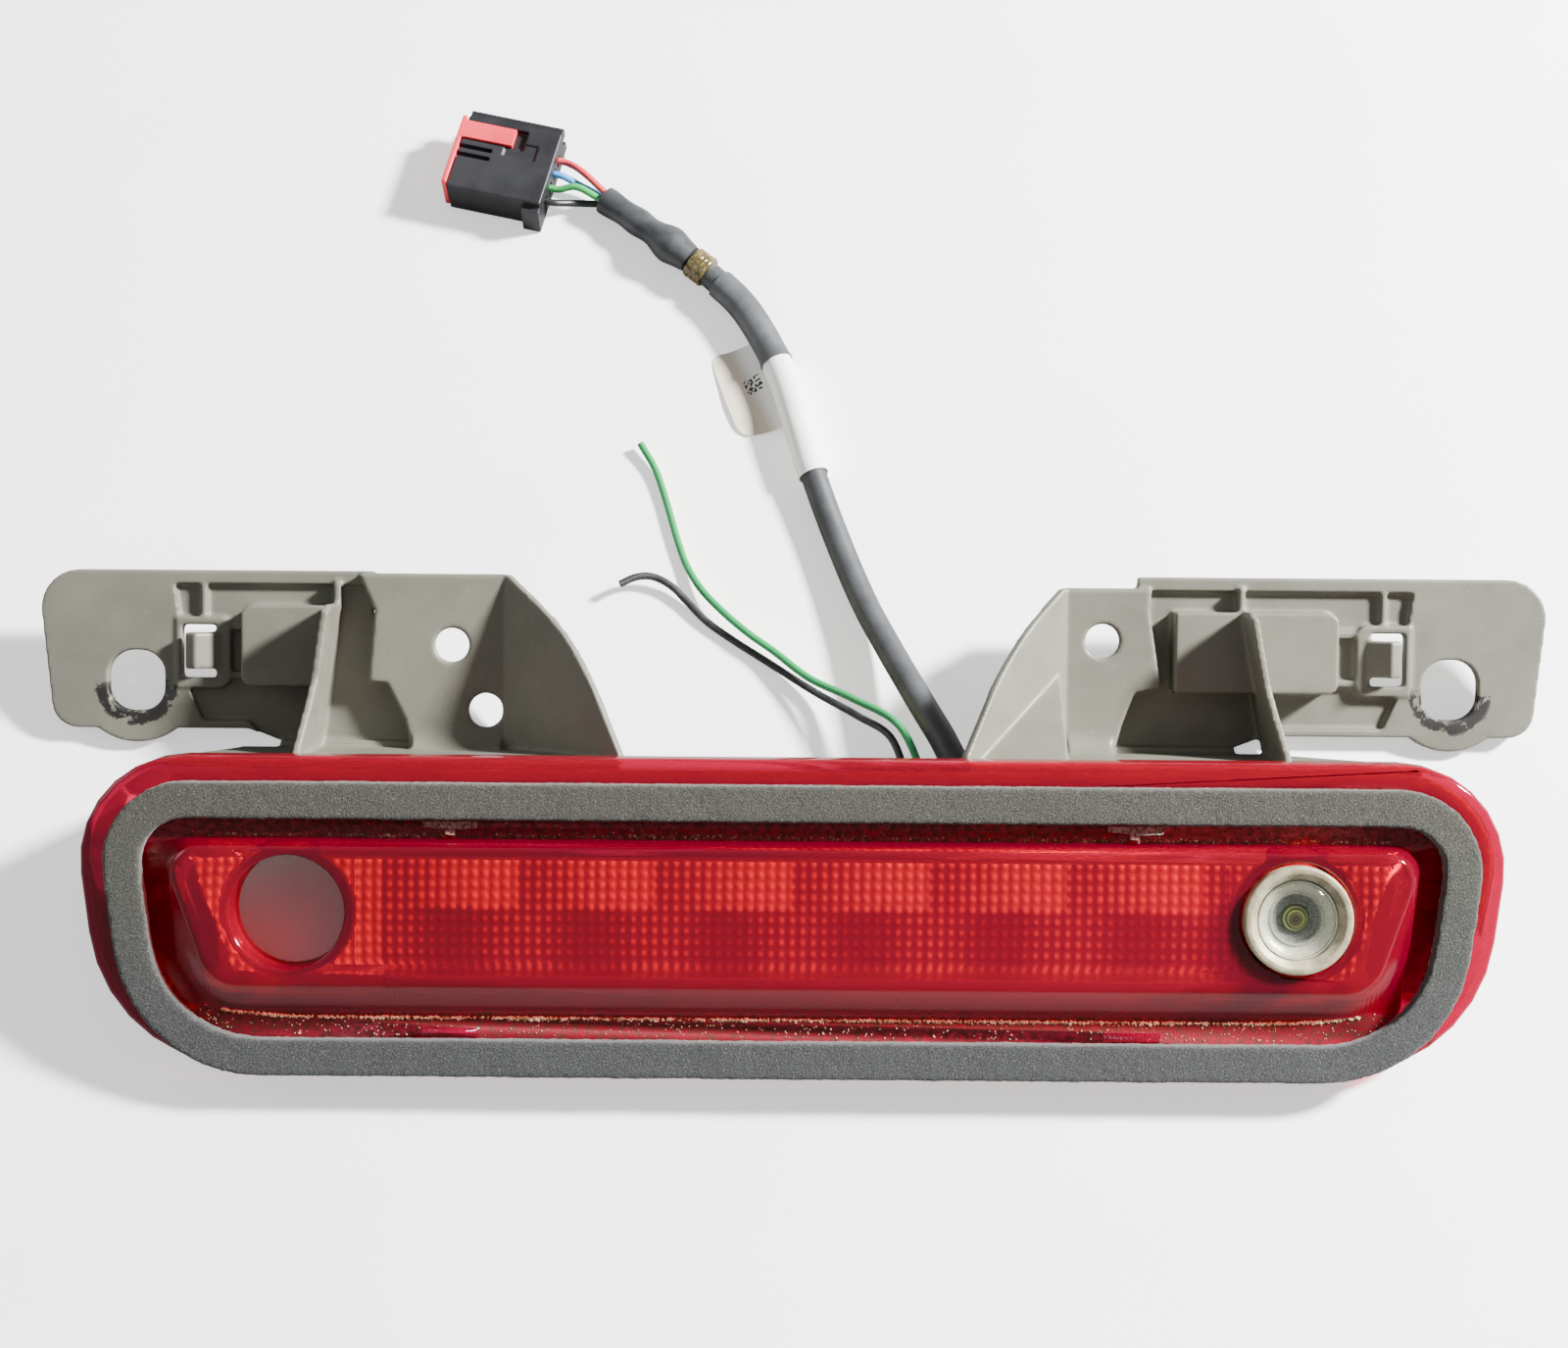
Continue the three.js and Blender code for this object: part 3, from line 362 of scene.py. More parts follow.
def clear_red_plastic(settings):
    """Acrylic dyed through and polished: clear and deep red, with sharp reflections and fine low flutes."""
    made = Finish("dyed_acrylic", settings.dye, 0.06, IOR=1.49, Specular_IOR_Level=0.1)
    add = made.add
    places = made.places(on_lamp=True)
    x, y, z = add("parts", places)
    # flutes 0.7 mm apart on the window's sloping foot, drawn at 1.1 mm so that they show
    across = add("sine", add("multiply", x, 2 * math.pi / 1.1))
    on_foot = add("multiply", add("fade", y, -15.2, -16.4), add("fade", z, 0.4, 1.4))
    flutes = add("multiply", on_foot, across)
    haze = add("multiply", add("speckle", places, 1 / 7, 4), 0.04)
    made.set(Normal=add("grain", add("multiply_add", flutes, 0.3, haze), 0.05 * MM))
    # a brown film of road dust lies in the groove round the window, inside the gasket
    off_middle = made.off_centre(y, -2.0)
    groove = add("fade", made.off_centre(z), 0.9, 0.3)
    for value, low, high in ((off_middle, 18.5, 20.5), (off_middle, 28, 27), (made.off_centre(x), 152, 150)):
        groove = add("multiply", groove, add("fade", value, low, high))
    patchy = add("fade", add("speckle", places, 1 / 1.6, 4, 0.7), 0.35, 0.62, 0.45, 1.0)
    film = add("multiply", groove, patchy)
    made.set(Base_Color=add("blend", film, settings.dye, "#5a2a22"),
             Transmission_Weight=add("multiply_add", film, -0.55, 0.9),
             Roughness=add("multiply_add", film, 0.5, 0.06))
    made.let_lamps_through("#c42c42")
    return made.material


def pillow_plastic(settings):
    """Moulded acrylic pillows over silvered LED cells, with painted light: each cell has a painted highlight up and to
    the right and painted shade low down, and each pillow a painted glint.
    """
    made = Finish("pillow_acrylic", settings.glow, 0.2, IOR=1.49, Coat_Weight=0.15, Coat_Roughness=0.08)
    add = made.add
    places = made.places(on_lamp=True)
    x, y, _ = add("parts", places)
    domes = []
    for value, pitch in ((x, settings.pillow_width), (y, settings.pillow_height)):
        wave = add("cosine", add("multiply", value, 2 * math.pi * MM / pitch))
        domes.append(add("multiply_add", wave, 0.5, 0.5))
    dot = add("multiply", *domes)
    along = add("fract", add("divide", add("add", x, CELL * 10), CELL))
    # painted light of each cell: a highlight over its upper half towards the right, painted shade low in its middle
    uneven = add("multiply", add("speckle", places, 1 / 5, 2), 3.0)
    upper = add("fade", add("add", y, uneven), 2.5, 5.5)
    above = add("multiply", upper, add("fade", along, 0.05, 0.85, 0.42, 1.0))
    dip = add("fade", made.off_centre(along, 0.52), 0.05, 0.42, 0.1, 0.4)
    below = add("multiply", add("subtract", 1.0, upper), dip)
    # beyond the last cells the window's ends get an even painted light, the left one more
    ends = add("fade", made.off_centre(x), 3 * CELL - 0.5, 3 * CELL + 0.5)
    in_cells = add("multiply", add("add", above, below), add("subtract", 1.0, ends))
    in_ends = add("multiply", ends, add("fade", x, -CELL, CELL, 0.85, 0.5))
    painted_light = add("add", in_cells, in_ends)
    # painted highlights on each pillow: a stripe across it and a glint on its top
    stripes = add("multiply", add("multiply", domes[0], 0.24), painted_light)
    painted_glint = add("multiply", add("power", dot, 1.4), add("multiply_add", painted_light, 0.42, 0.14))
    level = add("add", add("add", painted_glint, stripes), add("multiply", painted_light, 0.34), use_clamp=True)
    # the ramp runs from painted shade to the colour of the painted highlights
    shades = add("ramp", level)["Color"]
    stops = shades.node.color_ramp.elements
    stops[0].position = 0.06
    stops[0].color = linear("#320c1e", 1)
    stops[1].position = 0.85
    stops[1].color = (*settings.glow, 1)
    for place, shade in ((0.2, "#640c2c"), (0.45, "#cc0c48")):
        stops.new(place).color = linear(shade, 1)
    made.set(Base_Color=shades, Normal=add("grain", dot, 0.25 * MM, 0.6))
    return made.material


def cell_foam(settings):
    """Cut closed-cell foam: matt and granular, with painted shade in its cells' pits and painted highlight on their
    tops, and tape glue left along its foot.
    """
    made = Finish("cell_foam", "#50524b", 0.95, Sheen_Weight=0.15, Sheen_Roughness=0.6,
                  Specular_IOR_Level=0.2)
    add = made.add
    places = made.places(on_lamp=True)
    _, y, z = add("parts", places)
    cells = add("speckle", places, 2 * MM / settings.grain, 3, 0.7)
    # slightly darker and bluer towards the lens's bottom
    shade = add("blend", add("fade", y, -30, 24), "#3f4142", "#46453d")
    # painted shade in the cells' pits and painted highlight on their tops, from the same noise as their bump
    shade = add("blend", add("fade", cells, 0.36, 0.62), "#2b2c28", shade)
    shade = add("blend", add("fade", cells, 0.6, 0.72), shade, "#6a6a60")
    dusty = add("fade", add("speckle", places, 1 / 9, 4, 0.65), 0.46, 0.56)
    glue = add("multiply", add("fade", z, 1.6, 0.9), dusty)
    made.set(Base_Color=add("blend", glue, shade, "#b4a688"), Normal=add("grain", cells, 0.3 * MM))
    return made.material


def grey_carrier_plastic(settings):
    """Talc-filled polypropylene: satin olive-grey, dusty, scuffed black round the two bolt holes."""
    made = Finish("filled_polypropylene", settings.plastic, 0.48)
    add = made.add
    places = made.places(on_lamp=True)
    x, y, _ = add("parts", places)
    flow = add("fade", add("speckle", places, 1 / 22, 3), 0.35, 0.65)
    shade = add("blend", flow, [c * 0.9 for c in settings.plastic], [c * 1.06 for c in settings.plastic])
    dust = add("fade", add("speckle", places, 1 / 0.55, 2, 0.4), 0.7, 0.76, 0.0, 0.55)
    shade = add("blend", dust, shade, "#96917f")
    sideways = add("subtract", made.off_centre(x), BOLT_X)
    above = add("subtract", y, 51.2)
    squares = [add("multiply", value, value) for value in (sideways, above)]
    reach = add("power", add("add", *squares), 0.5)
    ring = add("multiply", add("fade", reach, 11.6, 9.6), add("fade", above, 3.5, -1.5))
    torn = add("multiply_add", ring, 0.35, add("speckle", places, 1 / 2.4, 4, 0.7))
    black = add("multiply", add("fade", torn, 0.74, 0.8), ring)
    made.set(Base_Color=add("blend", black, shade, "#1d1c1a"),
             Normal=add("grain", add("speckle", places, 1 / 0.5, 3), 0.035 * MM),
             Roughness=add("fade", add("speckle", places, 1 / 6, 3), 0.3, 0.7, 0.4, 0.56))
    return made.material


def painted_ring():
    """Painted zinc ring: pale warm grey with dark pits and dust."""
    made = Finish("painted_zinc", "#a3987a", 0.5, Metallic=0.25)
    add = made.add
    places = made.places()
    pits = add("speckle", places, 1 / 0.45, 3, 0.6)
    clouds = add("fade", add("speckle", places, 1 / 3, 3), 0.35, 0.65)
    paint = add("blend", clouds, "#8c8268", "#aea488")
    made.set(Base_Color=add("blend", add("fade", pits, 0.58, 0.68), paint, "#5f594a"),
             Normal=add("grain", pits, 0.04 * MM))
    return made.material


def printed_label():
    """White polyester label with painted shade, warm and beige, on its loose end near the ground, and a small printed
    code of random squares.
    """
    made = Finish("polyester_label", "#f4f2ec", 0.42)
    add = made.add
    places = made.places(turn=math.radians(-24), centre=(-10.5, 125.5, 0))
    x, y, z = add("parts", places)
    # painted shade on the flag's loose end, where it curls down to the ground
    painted_flag_shade = add("multiply", add("fade", x, 1.5, -2.5), add("fade", z, 5.0, 3.6))
    paper_and_shade = add("blend", painted_flag_shade, "#f8f7f3", "#d8cdbd")
    squares = add("vector", places, (0.5, 0.5, 50), operation="SNAP")
    flat = add("vector", squares, (1, 1, 0), operation="MULTIPLY")
    ink = add("fade", add("squares", flat), 0.47, 0.5)
    for value, centre in ((x, -0.2), (y, 0.6)):
        ink = add("multiply", ink, add("fade", made.off_centre(value, centre), 2.3, 2.2))
    made.set(Base_Color=add("blend", ink, paper_and_shade, "#26241f"),
             Normal=add("grain", add("speckle", places, 1 / 3, 3), 0.05 * MM))
    return made.material


def striped_insulation(name, first, second):
    """Two-colour wire insulation: a narrow second colour runs along the wire."""
    made = Finish(name, first, 0.38)
    add = made.add
    turn = add("parts", add("wound"))["Y"]
    stripe = add("fade", made.off_centre(turn, 0.33), 0.13, 0.15)
    made.set(Base_Color=add("blend", stripe, second, first))
    return made.material


# ---------------------------------------------------------------- modelling helpers
def select_only(obj):
    if bpy.context.object and bpy.context.object.mode != "OBJECT":
        bpy.ops.object.mode_set(mode="OBJECT")
    bpy.ops.object.select_all(action="DESELECT")
    obj.select_set(True)
    bpy.context.view_layer.objects.active = obj


def edit_whole(obj, *steps):
    """Runs operators on all of a piece in edit mode; a step is an operator and its settings."""
    select_only(obj)
    bpy.ops.object.mode_set(mode="EDIT")
    for operator, settings in steps:
        bpy.ops.mesh.select_all(action="SELECT")
        operator(**settings)
    bpy.ops.object.mode_set(mode="OBJECT")


def normals_outwards(obj):
    edit_whole(obj, (bpy.ops.mesh.normals_make_consistent, {"inside": False}))


def add_object(name, data):
    obj = bpy.data.objects.new(name, data)
    bpy.context.scene.collection.objects.link(obj)
    return obj


def mesh_object(name, verts, faces):
    mesh = bpy.data.meshes.new(name)
    mesh.from_pydata(verts, [], faces)
    return add_object(name, mesh)


def copy_of_node(name, new_name):
    """A merged copy of a CAD node in its own place, flat faces rejoined, ready for rounding."""
    obj = add_object(new_name, frame["nodes"][name].data.copy())
    obj.data.materials.clear()
    edit_whole(obj, (bpy.ops.mesh.remove_doubles, {"threshold": 0.000002}),
               (bpy.ops.mesh.dissolve_limited, {"angle_limit": math.radians(0.6)}))
    return obj


def add_modifier(obj, kind, **settings):
    """Adds a modifier and applies it at once."""
    select_only(obj)
    made = obj.modifiers.new(kind.title(), kind)
    for name, value in settings.items():
        setattr(made, name, value)
    bpy.ops.object.modifier_apply(modifier=made.name)


def soften(obj, spacing, smoothing, kept=None):
    """Gives a piece the soft edges of a moulding: an even mesh, smoothed, and thinned to a share if asked."""
    add_modifier(obj, "REMESH", mode="VOXEL", voxel_size=spacing)
    add_modifier(obj, "SMOOTH", factor=0.5, iterations=smoothing)
    if kept:
        add_modifier(obj, "DECIMATE", ratio=kept)


def round_edges(obj, width):
    add_modifier(obj, "BEVEL", width=width, segments=3, limit_method="ANGLE", angle_limit=math.radians(40))


def place_by(obj, matrix):
    """Moves a piece's mesh by a matrix and leaves its object at the origin."""
    select_only(obj)
    obj.matrix_world = matrix @ obj.matrix_world
    bpy.ops.object.transform_apply(location=True, rotation=True, scale=True)
    return obj


def select_where(obj, parts, wanted):
    """Selects the vertices or the edges of a piece that pass a test."""
    select_only(obj)
    bpy.ops.object.mode_set(mode="EDIT")
    bpy.ops.mesh.select_mode(type=parts)
    bpy.ops.mesh.select_all(action="DESELECT")
    bpy.ops.object.mode_set(mode="OBJECT")
    for part in obj.data.edges if parts == "EDGE" else obj.data.vertices:
        part.select = wanted(part)


def bevel_where(obj, width, segments, wanted):
    """Rounds the edges whose two ends pass a test; works on a piece in the lamp's own axes."""
    places = [v.co / MM for v in obj.data.vertices]
    select_where(obj, "EDGE", lambda edge: wanted([places[i] for i in edge.vertices]))
    bpy.ops.object.mode_set(mode="EDIT")
    bpy.ops.mesh.bevel(offset=width, segments=segments, affect="EDGES", clamp_overlap=False, loop_slide=True)
    bpy.ops.object.mode_set(mode="OBJECT")


def finish_piece(obj, material, slot, body="lamp", replaces=(), angle=35):
    """Gives a finished piece its shading, material, slot and body."""
    select_only(obj)
    if obj.type == "MESH":
        bpy.ops.object.shade_smooth_by_angle(angle=math.radians(angle))
    obj.data.materials.clear()
    obj.data.materials.append(material)
    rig.slot(obj, slot)
    if replaces:
        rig.replaces(obj, *replaces)
    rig.ride(obj, body)
    return obj


def plate(outline, rise):
    """A flat plate: an outline in the lamp's own axes, drawn out by a step in millimetres."""
    bpy.ops.object.select_all(action="DESELECT")
    bpy.ops.mesh.primitive_circle_add(vertices=len(outline), radius=MM, fill_type="NGON")
    obj = bpy.context.object
    for vertex, point in zip(obj.data.vertices, outline):
        vertex.co = in_metres(*point)
    step = {"value": tuple(in_metres(*rise))}
    edit_whole(obj, (bpy.ops.mesh.extrude_region_move, {"TRANSFORM_OT_translate": step}))
    normals_outwards(obj)
    return obj


def join_to(obj, *others):
    """Joins other pieces on to a piece."""
    select_only(obj)
    for other in others:
        other.select_set(True)
    bpy.ops.object.join()
    return obj


def turned(name, profile, sides=96):
    """A piece turned on the camera's axis; its profile is [radius, z] in millimetres and closes on itself."""
    bpy.ops.object.select_all(action="DESELECT")
    bpy.ops.mesh.primitive_circle_add(vertices=len(profile), radius=MM)
    obj = bpy.context.object
    obj.name = name
    for vertex, (radius, z) in zip(obj.data.vertices, profile):
        vertex.co = in_metres(radius, 0, z)
    round_axis = {"steps": sides, "angle": 2 * math.pi, "center": (0, 0, 0), "axis": (0, 0, 1)}
    edit_whole(obj, (bpy.ops.mesh.spin, round_axis),
               (bpy.ops.mesh.remove_doubles, {"threshold": 0.000004}),
               (bpy.ops.mesh.delete_loose, {"use_verts": False, "use_edges": True, "use_faces": False}),
               (bpy.ops.mesh.normals_make_consistent, {"inside": False}))
    return place_by(obj, ON_LAMP @ Matrix.Translation(in_metres(PORT_X, PORT_Y, 0)))


def smooth_route(points, steps=8):
    """Centripetal Catmull-Rom curve through a route's points."""
    points = [Vector(p) for p in points]
    run = [points[0] * 2 - points[1], *points, points[-1] * 2 - points[-2]]
    curve = []
    for a, b, c, d in zip(run, run[1:], run[2:], run[3:]):
        first, middle, last = ((q - p).length ** 0.5 for p, q in ((a, b), (b, c), (c, d)))
        out = ((b - a) / first - (c - a) / (first + middle) + (c - b) / middle) * middle
        into = ((c - b) / middle - (d - b) / (middle + last) + (d - c) / last) * middle
        for step in range(steps):
            t = step / steps
            curve.append(b * (2 * t**3 - 3 * t**2 + 1) + out * (t**3 - 2 * t**2 + t)
                         + c * (3 * t**2 - 2 * t**3) + into * (t**3 - t**2))
    return [*curve, points[-1]]


def run_length(points):
    return sum((b - a).length for a, b in zip(points, points[1:]))


def part_of_run(points, start, end, count):
    """Evenly spaced points along a share of a run."""
    whole = run_length(points)
    marks = [whole * (start + (end - start) * i / (count - 1)) for i in range(count)]
    found = []
    travelled = 0.0
    for a, b in zip(points, points[1:]):
        step = (b - a).length
        while marks and marks[0] <= travelled + step + 1e-9:
            found.append(a.lerp(b, min(1.0, (marks[0] - travelled) / step)))
            marks.pop(0)
        travelled += step
    return found


def cable_curve(name, points, radius, resolution=5):
    """A round cable along points."""
    data = bpy.data.curves.new(name, "CURVE")
    data.dimensions = "3D"
    data.bevel_depth = radius
    data.bevel_resolution = resolution
    data.use_fill_caps = True
    data.twist_mode = "MINIMUM"
    spline = data.splines.new("POLY")
    spline.points.add(len(points) - 1)
    for target, place in zip(spline.points, points):
        target.co = (*place, 1)
    return add_object(name, data)


def tube_mesh(name, points, radius, sides, swell=lambda t: 1.0, inner=None):
    """A tube of skin along points, with a map that runs along it and round it; inner opens it to a bore."""
    frames = []
    side = Vector((0, 0, 1))
    for i, point in enumerate(points):
        ahead = (points[min(i + 1, len(points) - 1)] - points[max(i - 1, 0)]).normalized()
        side = (side - ahead * side.dot(ahead)).normalized()
        frames.append((point, side.copy(), ahead.cross(side), swell(i / (len(points) - 1))))
    rings = [(frame_here, radius) for frame_here in frames]
    if inner:
        rings += [(frame_here, inner) for frame_here in reversed(frames)]
    verts = []
    for (point, u, w, share), size in rings:
        verts += [point + (u * math.cos(a) + w * math.sin(a)) * size * share
                  for a in (2 * math.pi * k / sides for k in range(sides))]
    faces = []
    for i in range(len(rings) if inner else len(rings) - 1):
        this, after = i * sides, (i + 1) % len(rings) * sides
        for k in range(sides):
            n = (k + 1) % sides
            faces.append((this + k, this + n, after + n, after + k))
    if not inner:
        faces.append(tuple(reversed(range(sides))))
        faces.append(tuple(range(len(verts) - sides, len(verts))))
    tube = mesh_object(name, verts, faces)
    mesh = tube.data
    layer = mesh.uv_layers.new(name="length_and_turn")
    for face in mesh.polygons:
        turns = [(mesh.loops[loop].vertex_index % sides) / sides for loop in face.loop_indices]
        wraps = max(turns) - min(turns) > 0.5
        for loop, turn in zip(face.loop_indices, turns):
            along = mesh.loops[loop].vertex_index // sides
            layer.data[loop].uv = (along / len(points), turn + 1 if wraps and turn < 0.5 else turn)
    normals_outwards(tube)
    return tube


# ---------------------------------------------------------------- routes of the cables, as on the CAD model
# All in millimetres. A route starts behind the lens, in the lamp's own axes, and goes on along the ground.
CABLE_DEPTH = -22.55
WIRE_DEPTH = -20.9
CABLE_START = ((108.9, 8, CABLE_DEPTH), (96, 9.5, CABLE_DEPTH), (80, 14, CABLE_DEPTH - 1.2),
               (63, 22, CABLE_DEPTH - 1.6))
CABLE_REST = ((43.5, 9.5, 14.5), (35.5, 24, 12.5), (29.2, 37, 9.5), (23.4, 49.5, 6.6), (17.6, 62.5, 4.6),
              (10.2, 82.5, 3.7), (4.4, 100, 4.3), (1.6, 110.2, 4.5), (-2.9, 126, 4.5), (-8, 138, 4.5),
              (-14.5, 149, 4.5), (-22.8, 157.6, 4.8))
GLUE_REST = ((-23.4, 158.2, 4.9), (-25.4, 159.8, 5.1), (-27.6, 161.6, 5.4))
BOOT_REST = ((-28.2, 162, 5.6), (-33, 166, 5.6), (-38.6, 171, 4.9), (-44.5, 176, 4.2), (-51.8, 181.6, 4))
BLACK_START = ((30.4, 23, WIRE_DEPTH), (28.6, 27, WIRE_DEPTH - 3.5))
BLACK_REST = ((24, 22.5, 11.5), (16, 30, 7), (6, 37.6, 3), (-7.3, 47.3, 1.3), (-16, 53.2, 1.3),
              (-22.3, 58, 1.4), (-27.4, 63.4, 1.8), (-31.4, 67.2, 2.6), (-36.2, 69.2, 3.6),
              (-40.2, 68.6, 4.4), (-44, 66.4, 5))
GREEN_START = ((33.6, 23, WIRE_DEPTH), (32.4, 28, WIRE_DEPTH - 2.4))
GREEN_REST = ((26, 24.5, 14.2), (15, 33.4, 9.6), (4, 40.6, 5.6), (-5, 48.6, 4), (-11.6, 53.6, 4),
              (-18, 59.6, 3.6), (-23.6, 66.4, 2.4), (-27.4, 73.4, 1.4), (-29.7, 80, 1.3), (-31.6, 86.6, 1.3),
              (-33.6, 93.6, 1.3), (-36.2, 101, 1.6), (-40.2, 108, 2.4))


def whole_route(start, rest, steps=8):
    return smooth_route([lamp_point(*p) for p in start] + [in_metres(*p) for p in rest], steps)


# ---------------------------------------------------------------- stage
class BRAKELIGHT_OT_stage(bpy.types.Operator):
    """Sets up the camera, the pale floor and the soft studio lamps"""

    bl_idname = "brakelight.stage"
    bl_label = "Stage"

    def execute(self, context):
        scene = context.scene
        data = bpy.data.cameras.new("camera")
        data.sensor_width = 36
        data.lens = 59.4
        data.clip_end = 10
        camera = add_object("camera", data)
        back = Vector((0, -0.3907, 0.9206)).normalized()
        right = Vector((1, 0, 0))
        roll = math.radians(0.45)
        side = right * math.cos(roll) + back.cross(right) * math.sin(roll)
        axes = Matrix((side, back.cross(side), back)).transposed()
        camera.matrix_world = Matrix.Translation((-0.0023, -0.2107, 0.6003)) @ axes.to_4x4()
        scene.camera = camera

        bpy.ops.mesh.primitive_plane_add(size=6, location=(0, 0, 0))
        floor = context.object
        floor.name = "floor"
        white = Finish("matt_white_board", "#fbfbfa", 0.6, Emission_Color="#fdfdfd")
        places = white.places()
        board = white.add("blend", white.add("fade", white.add("speckle", places, 1 / 60, 3), 0.3, 0.7),
                          "#f8f8f7", "#fdfdfd")
        ray = white.add("ray")
        # its mirror image in the polished lens is held down, so that the red stays deep
        white.set(Base_Color=white.add("blend", ray["Is Glossy Ray"], board, "#8c8c8c"))
        # the board glows to the eye alone, so that its shadows wash out with no more light on the lamp,
        # but under the free port it stays dark
        from_port = white.add("distance", places, (-PORT_X, -18, 0))
        washed = white.add("multiply", ray["Is Camera Ray"], white.add("fade", from_port, 26, 34))
        white.set(Emission_Strength=white.add("multiply", washed, 0.8))
        floor.data.materials.append(white.material)
        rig.stage(floor)

        world = scene.world or bpy.data.worlds.new("studio")
        scene.world = world
        world.use_nodes = True
        sky = world.node_tree.nodes["Background"]
        sky.inputs["Color"].default_value = linear("#f6f8fb", 1)
        sky.inputs["Strength"].default_value = 0.36
        for name, place, power, size in (("key", (1.3, 0.5, 0.95), 190, 0.2),
                                         ("fill", (-1.5, 0.5, 0.8), 5, 0.8)):
            lamp = bpy.data.lights.new(name, "AREA")
            lamp.energy = power
            lamp.size = size
            holder = add_object(name, lamp)
            holder.location = place
            holder.rotation_euler = (Vector(place) - Vector((0, 0.03, 0))).to_track_quat("Z", "Y").to_euler()
        return {"FINISHED"}


# ---------------------------------------------------------------- cables
class BRAKELIGHT_OT_camera_cable(bpy.types.Operator):
    """Lays the camera's cable with its label, sleeves, glue and the four wires into the connector"""

    bl_idname = "brakelight.camera_cable"
    bl_label = "Camera cable"

    def execute(self, context):
        sizes = context.scene.brakelight_cable
        route = whole_route(CABLE_START, CABLE_REST)
        cable = cable_curve("cable_jacket", route, sizes.diameter / 2, 7)
        pvc = jacket_plastic("pvc_jacket", "#3c3e40", "#434547", "#343638", 0.5, 9)
        finish_piece(cable, pvc, "cable_jacket", replaces=["camera_cable"])

        sleeve = tube_mesh("cable_shrink_sleeve", part_of_run(route, 0.862, 0.985, 30), 0.0041, 28,
                           lambda t: 1 + 0.09 * max(0, 1 - t / 0.12) ** 2, 0.0038)
        shrink = jacket_plastic("shrunk_polyolefin", "#4c4d4f", "#545658", "#434548", 0.45, 9)
        finish_piece(sleeve, shrink, "shrink_sleeve", replaces=["cable_sleeve"])

        boot_run = whole_route((), BOOT_REST, 12)
        boot = tube_mesh("shrink_boot_skin", boot_run, 0.0037, 28,
                         lambda t: 1 + 0.4 * math.exp(-(((t - 0.26) / 0.13) ** 2)) + 0.05 * math.sin(t * 21))
        shrunk = jacket_plastic("shrunk_boot", "#3a3c3e", "#434547", "#303234", 0.42, 8)
        finish_piece(boot, shrunk, "shrink_sleeve", replaces=["shrink_boot"])

        glue = tube_mesh("melted_glue", whole_route((), GLUE_REST, 10), 0.0042, 28,
                         lambda t: 0.97 + 0.07 * abs(math.sin(t * 13)))
        for vertex in glue.data.vertices:
            vertex.co += vertex.co.normalized() * 0.0003 * noise.noise(vertex.co * 900)
        melt = mottled("hot_melt_glue", "#6f5f36", "#463d24", "#6d5f38", 1.2, 0.16, edges=(0.4, 0.6),
                       IOR=1.5, Coat_Weight=0.5)
        finish_piece(glue, melt, "glue", replaces=["glue_ring"])

        label = self.label(part_of_run(route, 0.715, 0.864, 24))
        pieces = [sleeve, boot, glue, label, *self.wires(boot_run, sizes.wire_diameter / 2)]
        context.scene["cable_pieces"] = [p.name for p in pieces] + [f"terminal_{n}" for n in (1, 2, 3, 4)]
        return {"FINISHED"}

    def label(self, run):
        """The label's wrap round the cable and its loose end, curling down on to the ground"""
        wrap = tube_mesh("label_wrap", run, 0.00405, 40, inner=0.00372)
        bpy.ops.object.select_all(action="DESELECT")
        bpy.ops.mesh.primitive_grid_add(x_subdivisions=16, y_subdivisions=26, size=1)
        flag = bpy.context.object
        near = [in_metres(*p) for p in ((-2.8, 112.6, 0), (-6.9, 126.4, 0), (-11.4, 137.8, 0))]
        far = [in_metres(*p) for p in ((-14.4, 111.2, 0), (-18.4, 122, 0), (-22.9, 135.2, 0))]
        for vertex in flag.data.vertices:
            u, v = vertex.co.x + 0.5, vertex.co.y + 0.5
            inner_edge, outer_edge = (a.lerp(b, v * 2) if v < 0.5 else b.lerp(c, v * 2 - 1)
                                      for a, b, c in (near, far))
            round_off = 0.198 * (abs(v - 0.5) * 2) ** 10
            place = inner_edge.lerp(outer_edge, u * (1 - round_off))
            height = 0.55 + 3.1 * (1 - u) ** 2.2 + 0.35 * math.sin(v * 5) * u
            vertex.co = Vector((place.x, place.y, height * MM))
        add_modifier(flag, "SOLIDIFY", thickness=0.00018, offset=0)
        return finish_piece(join_to(wrap, flag), printed_label(), "label", replaces=["cable_label"])

    def wires(self, boot_run, radius):
        """Four insulated wires from the boot's mouth into the connector's ways"""
        mouth = boot_run[-1]
        way = (boot_run[-1] - boot_run[-2]).normalized()
        side = way.cross(Vector((0, 0, 1))).normalized()
        for name, hex_colour, place, lean, up, middle in (
            ("red", "#d9484e", 6.6, 1, 1, (-58.4, 189.4, 6.2)),
            ("blue", "#4b90d2", 2.2, 1, -1, (-58.8, 186.6, 3.4)),
            ("green", "#36a052", -2.2, -1, 1, (-59.8, 184.2, 6.4)),
            ("black", "#262628", -6.6, -1, -1, (-60.4, 181.2, 3)),
        ):
            start, out = (PLUG_AT @ in_metres(x, place, 5) for x in (10.9, 15.2))
            end = mouth + way * 0.0009 + side * lean * 0.00125 + Vector((0, 0, up * 0.00125))
            run = smooth_route([start, out, in_metres(*middle), end], 10)
            wire = cable_curve(f"insulation_{name}", run, radius)
            insulation = jacket_plastic(f"pvc_insulation_{name}", hex_colour, hex_colour, hex_colour, 0.36)
            yield finish_piece(wire, insulation, f"wire_{name}", replaces=[f"wire_{name}"])


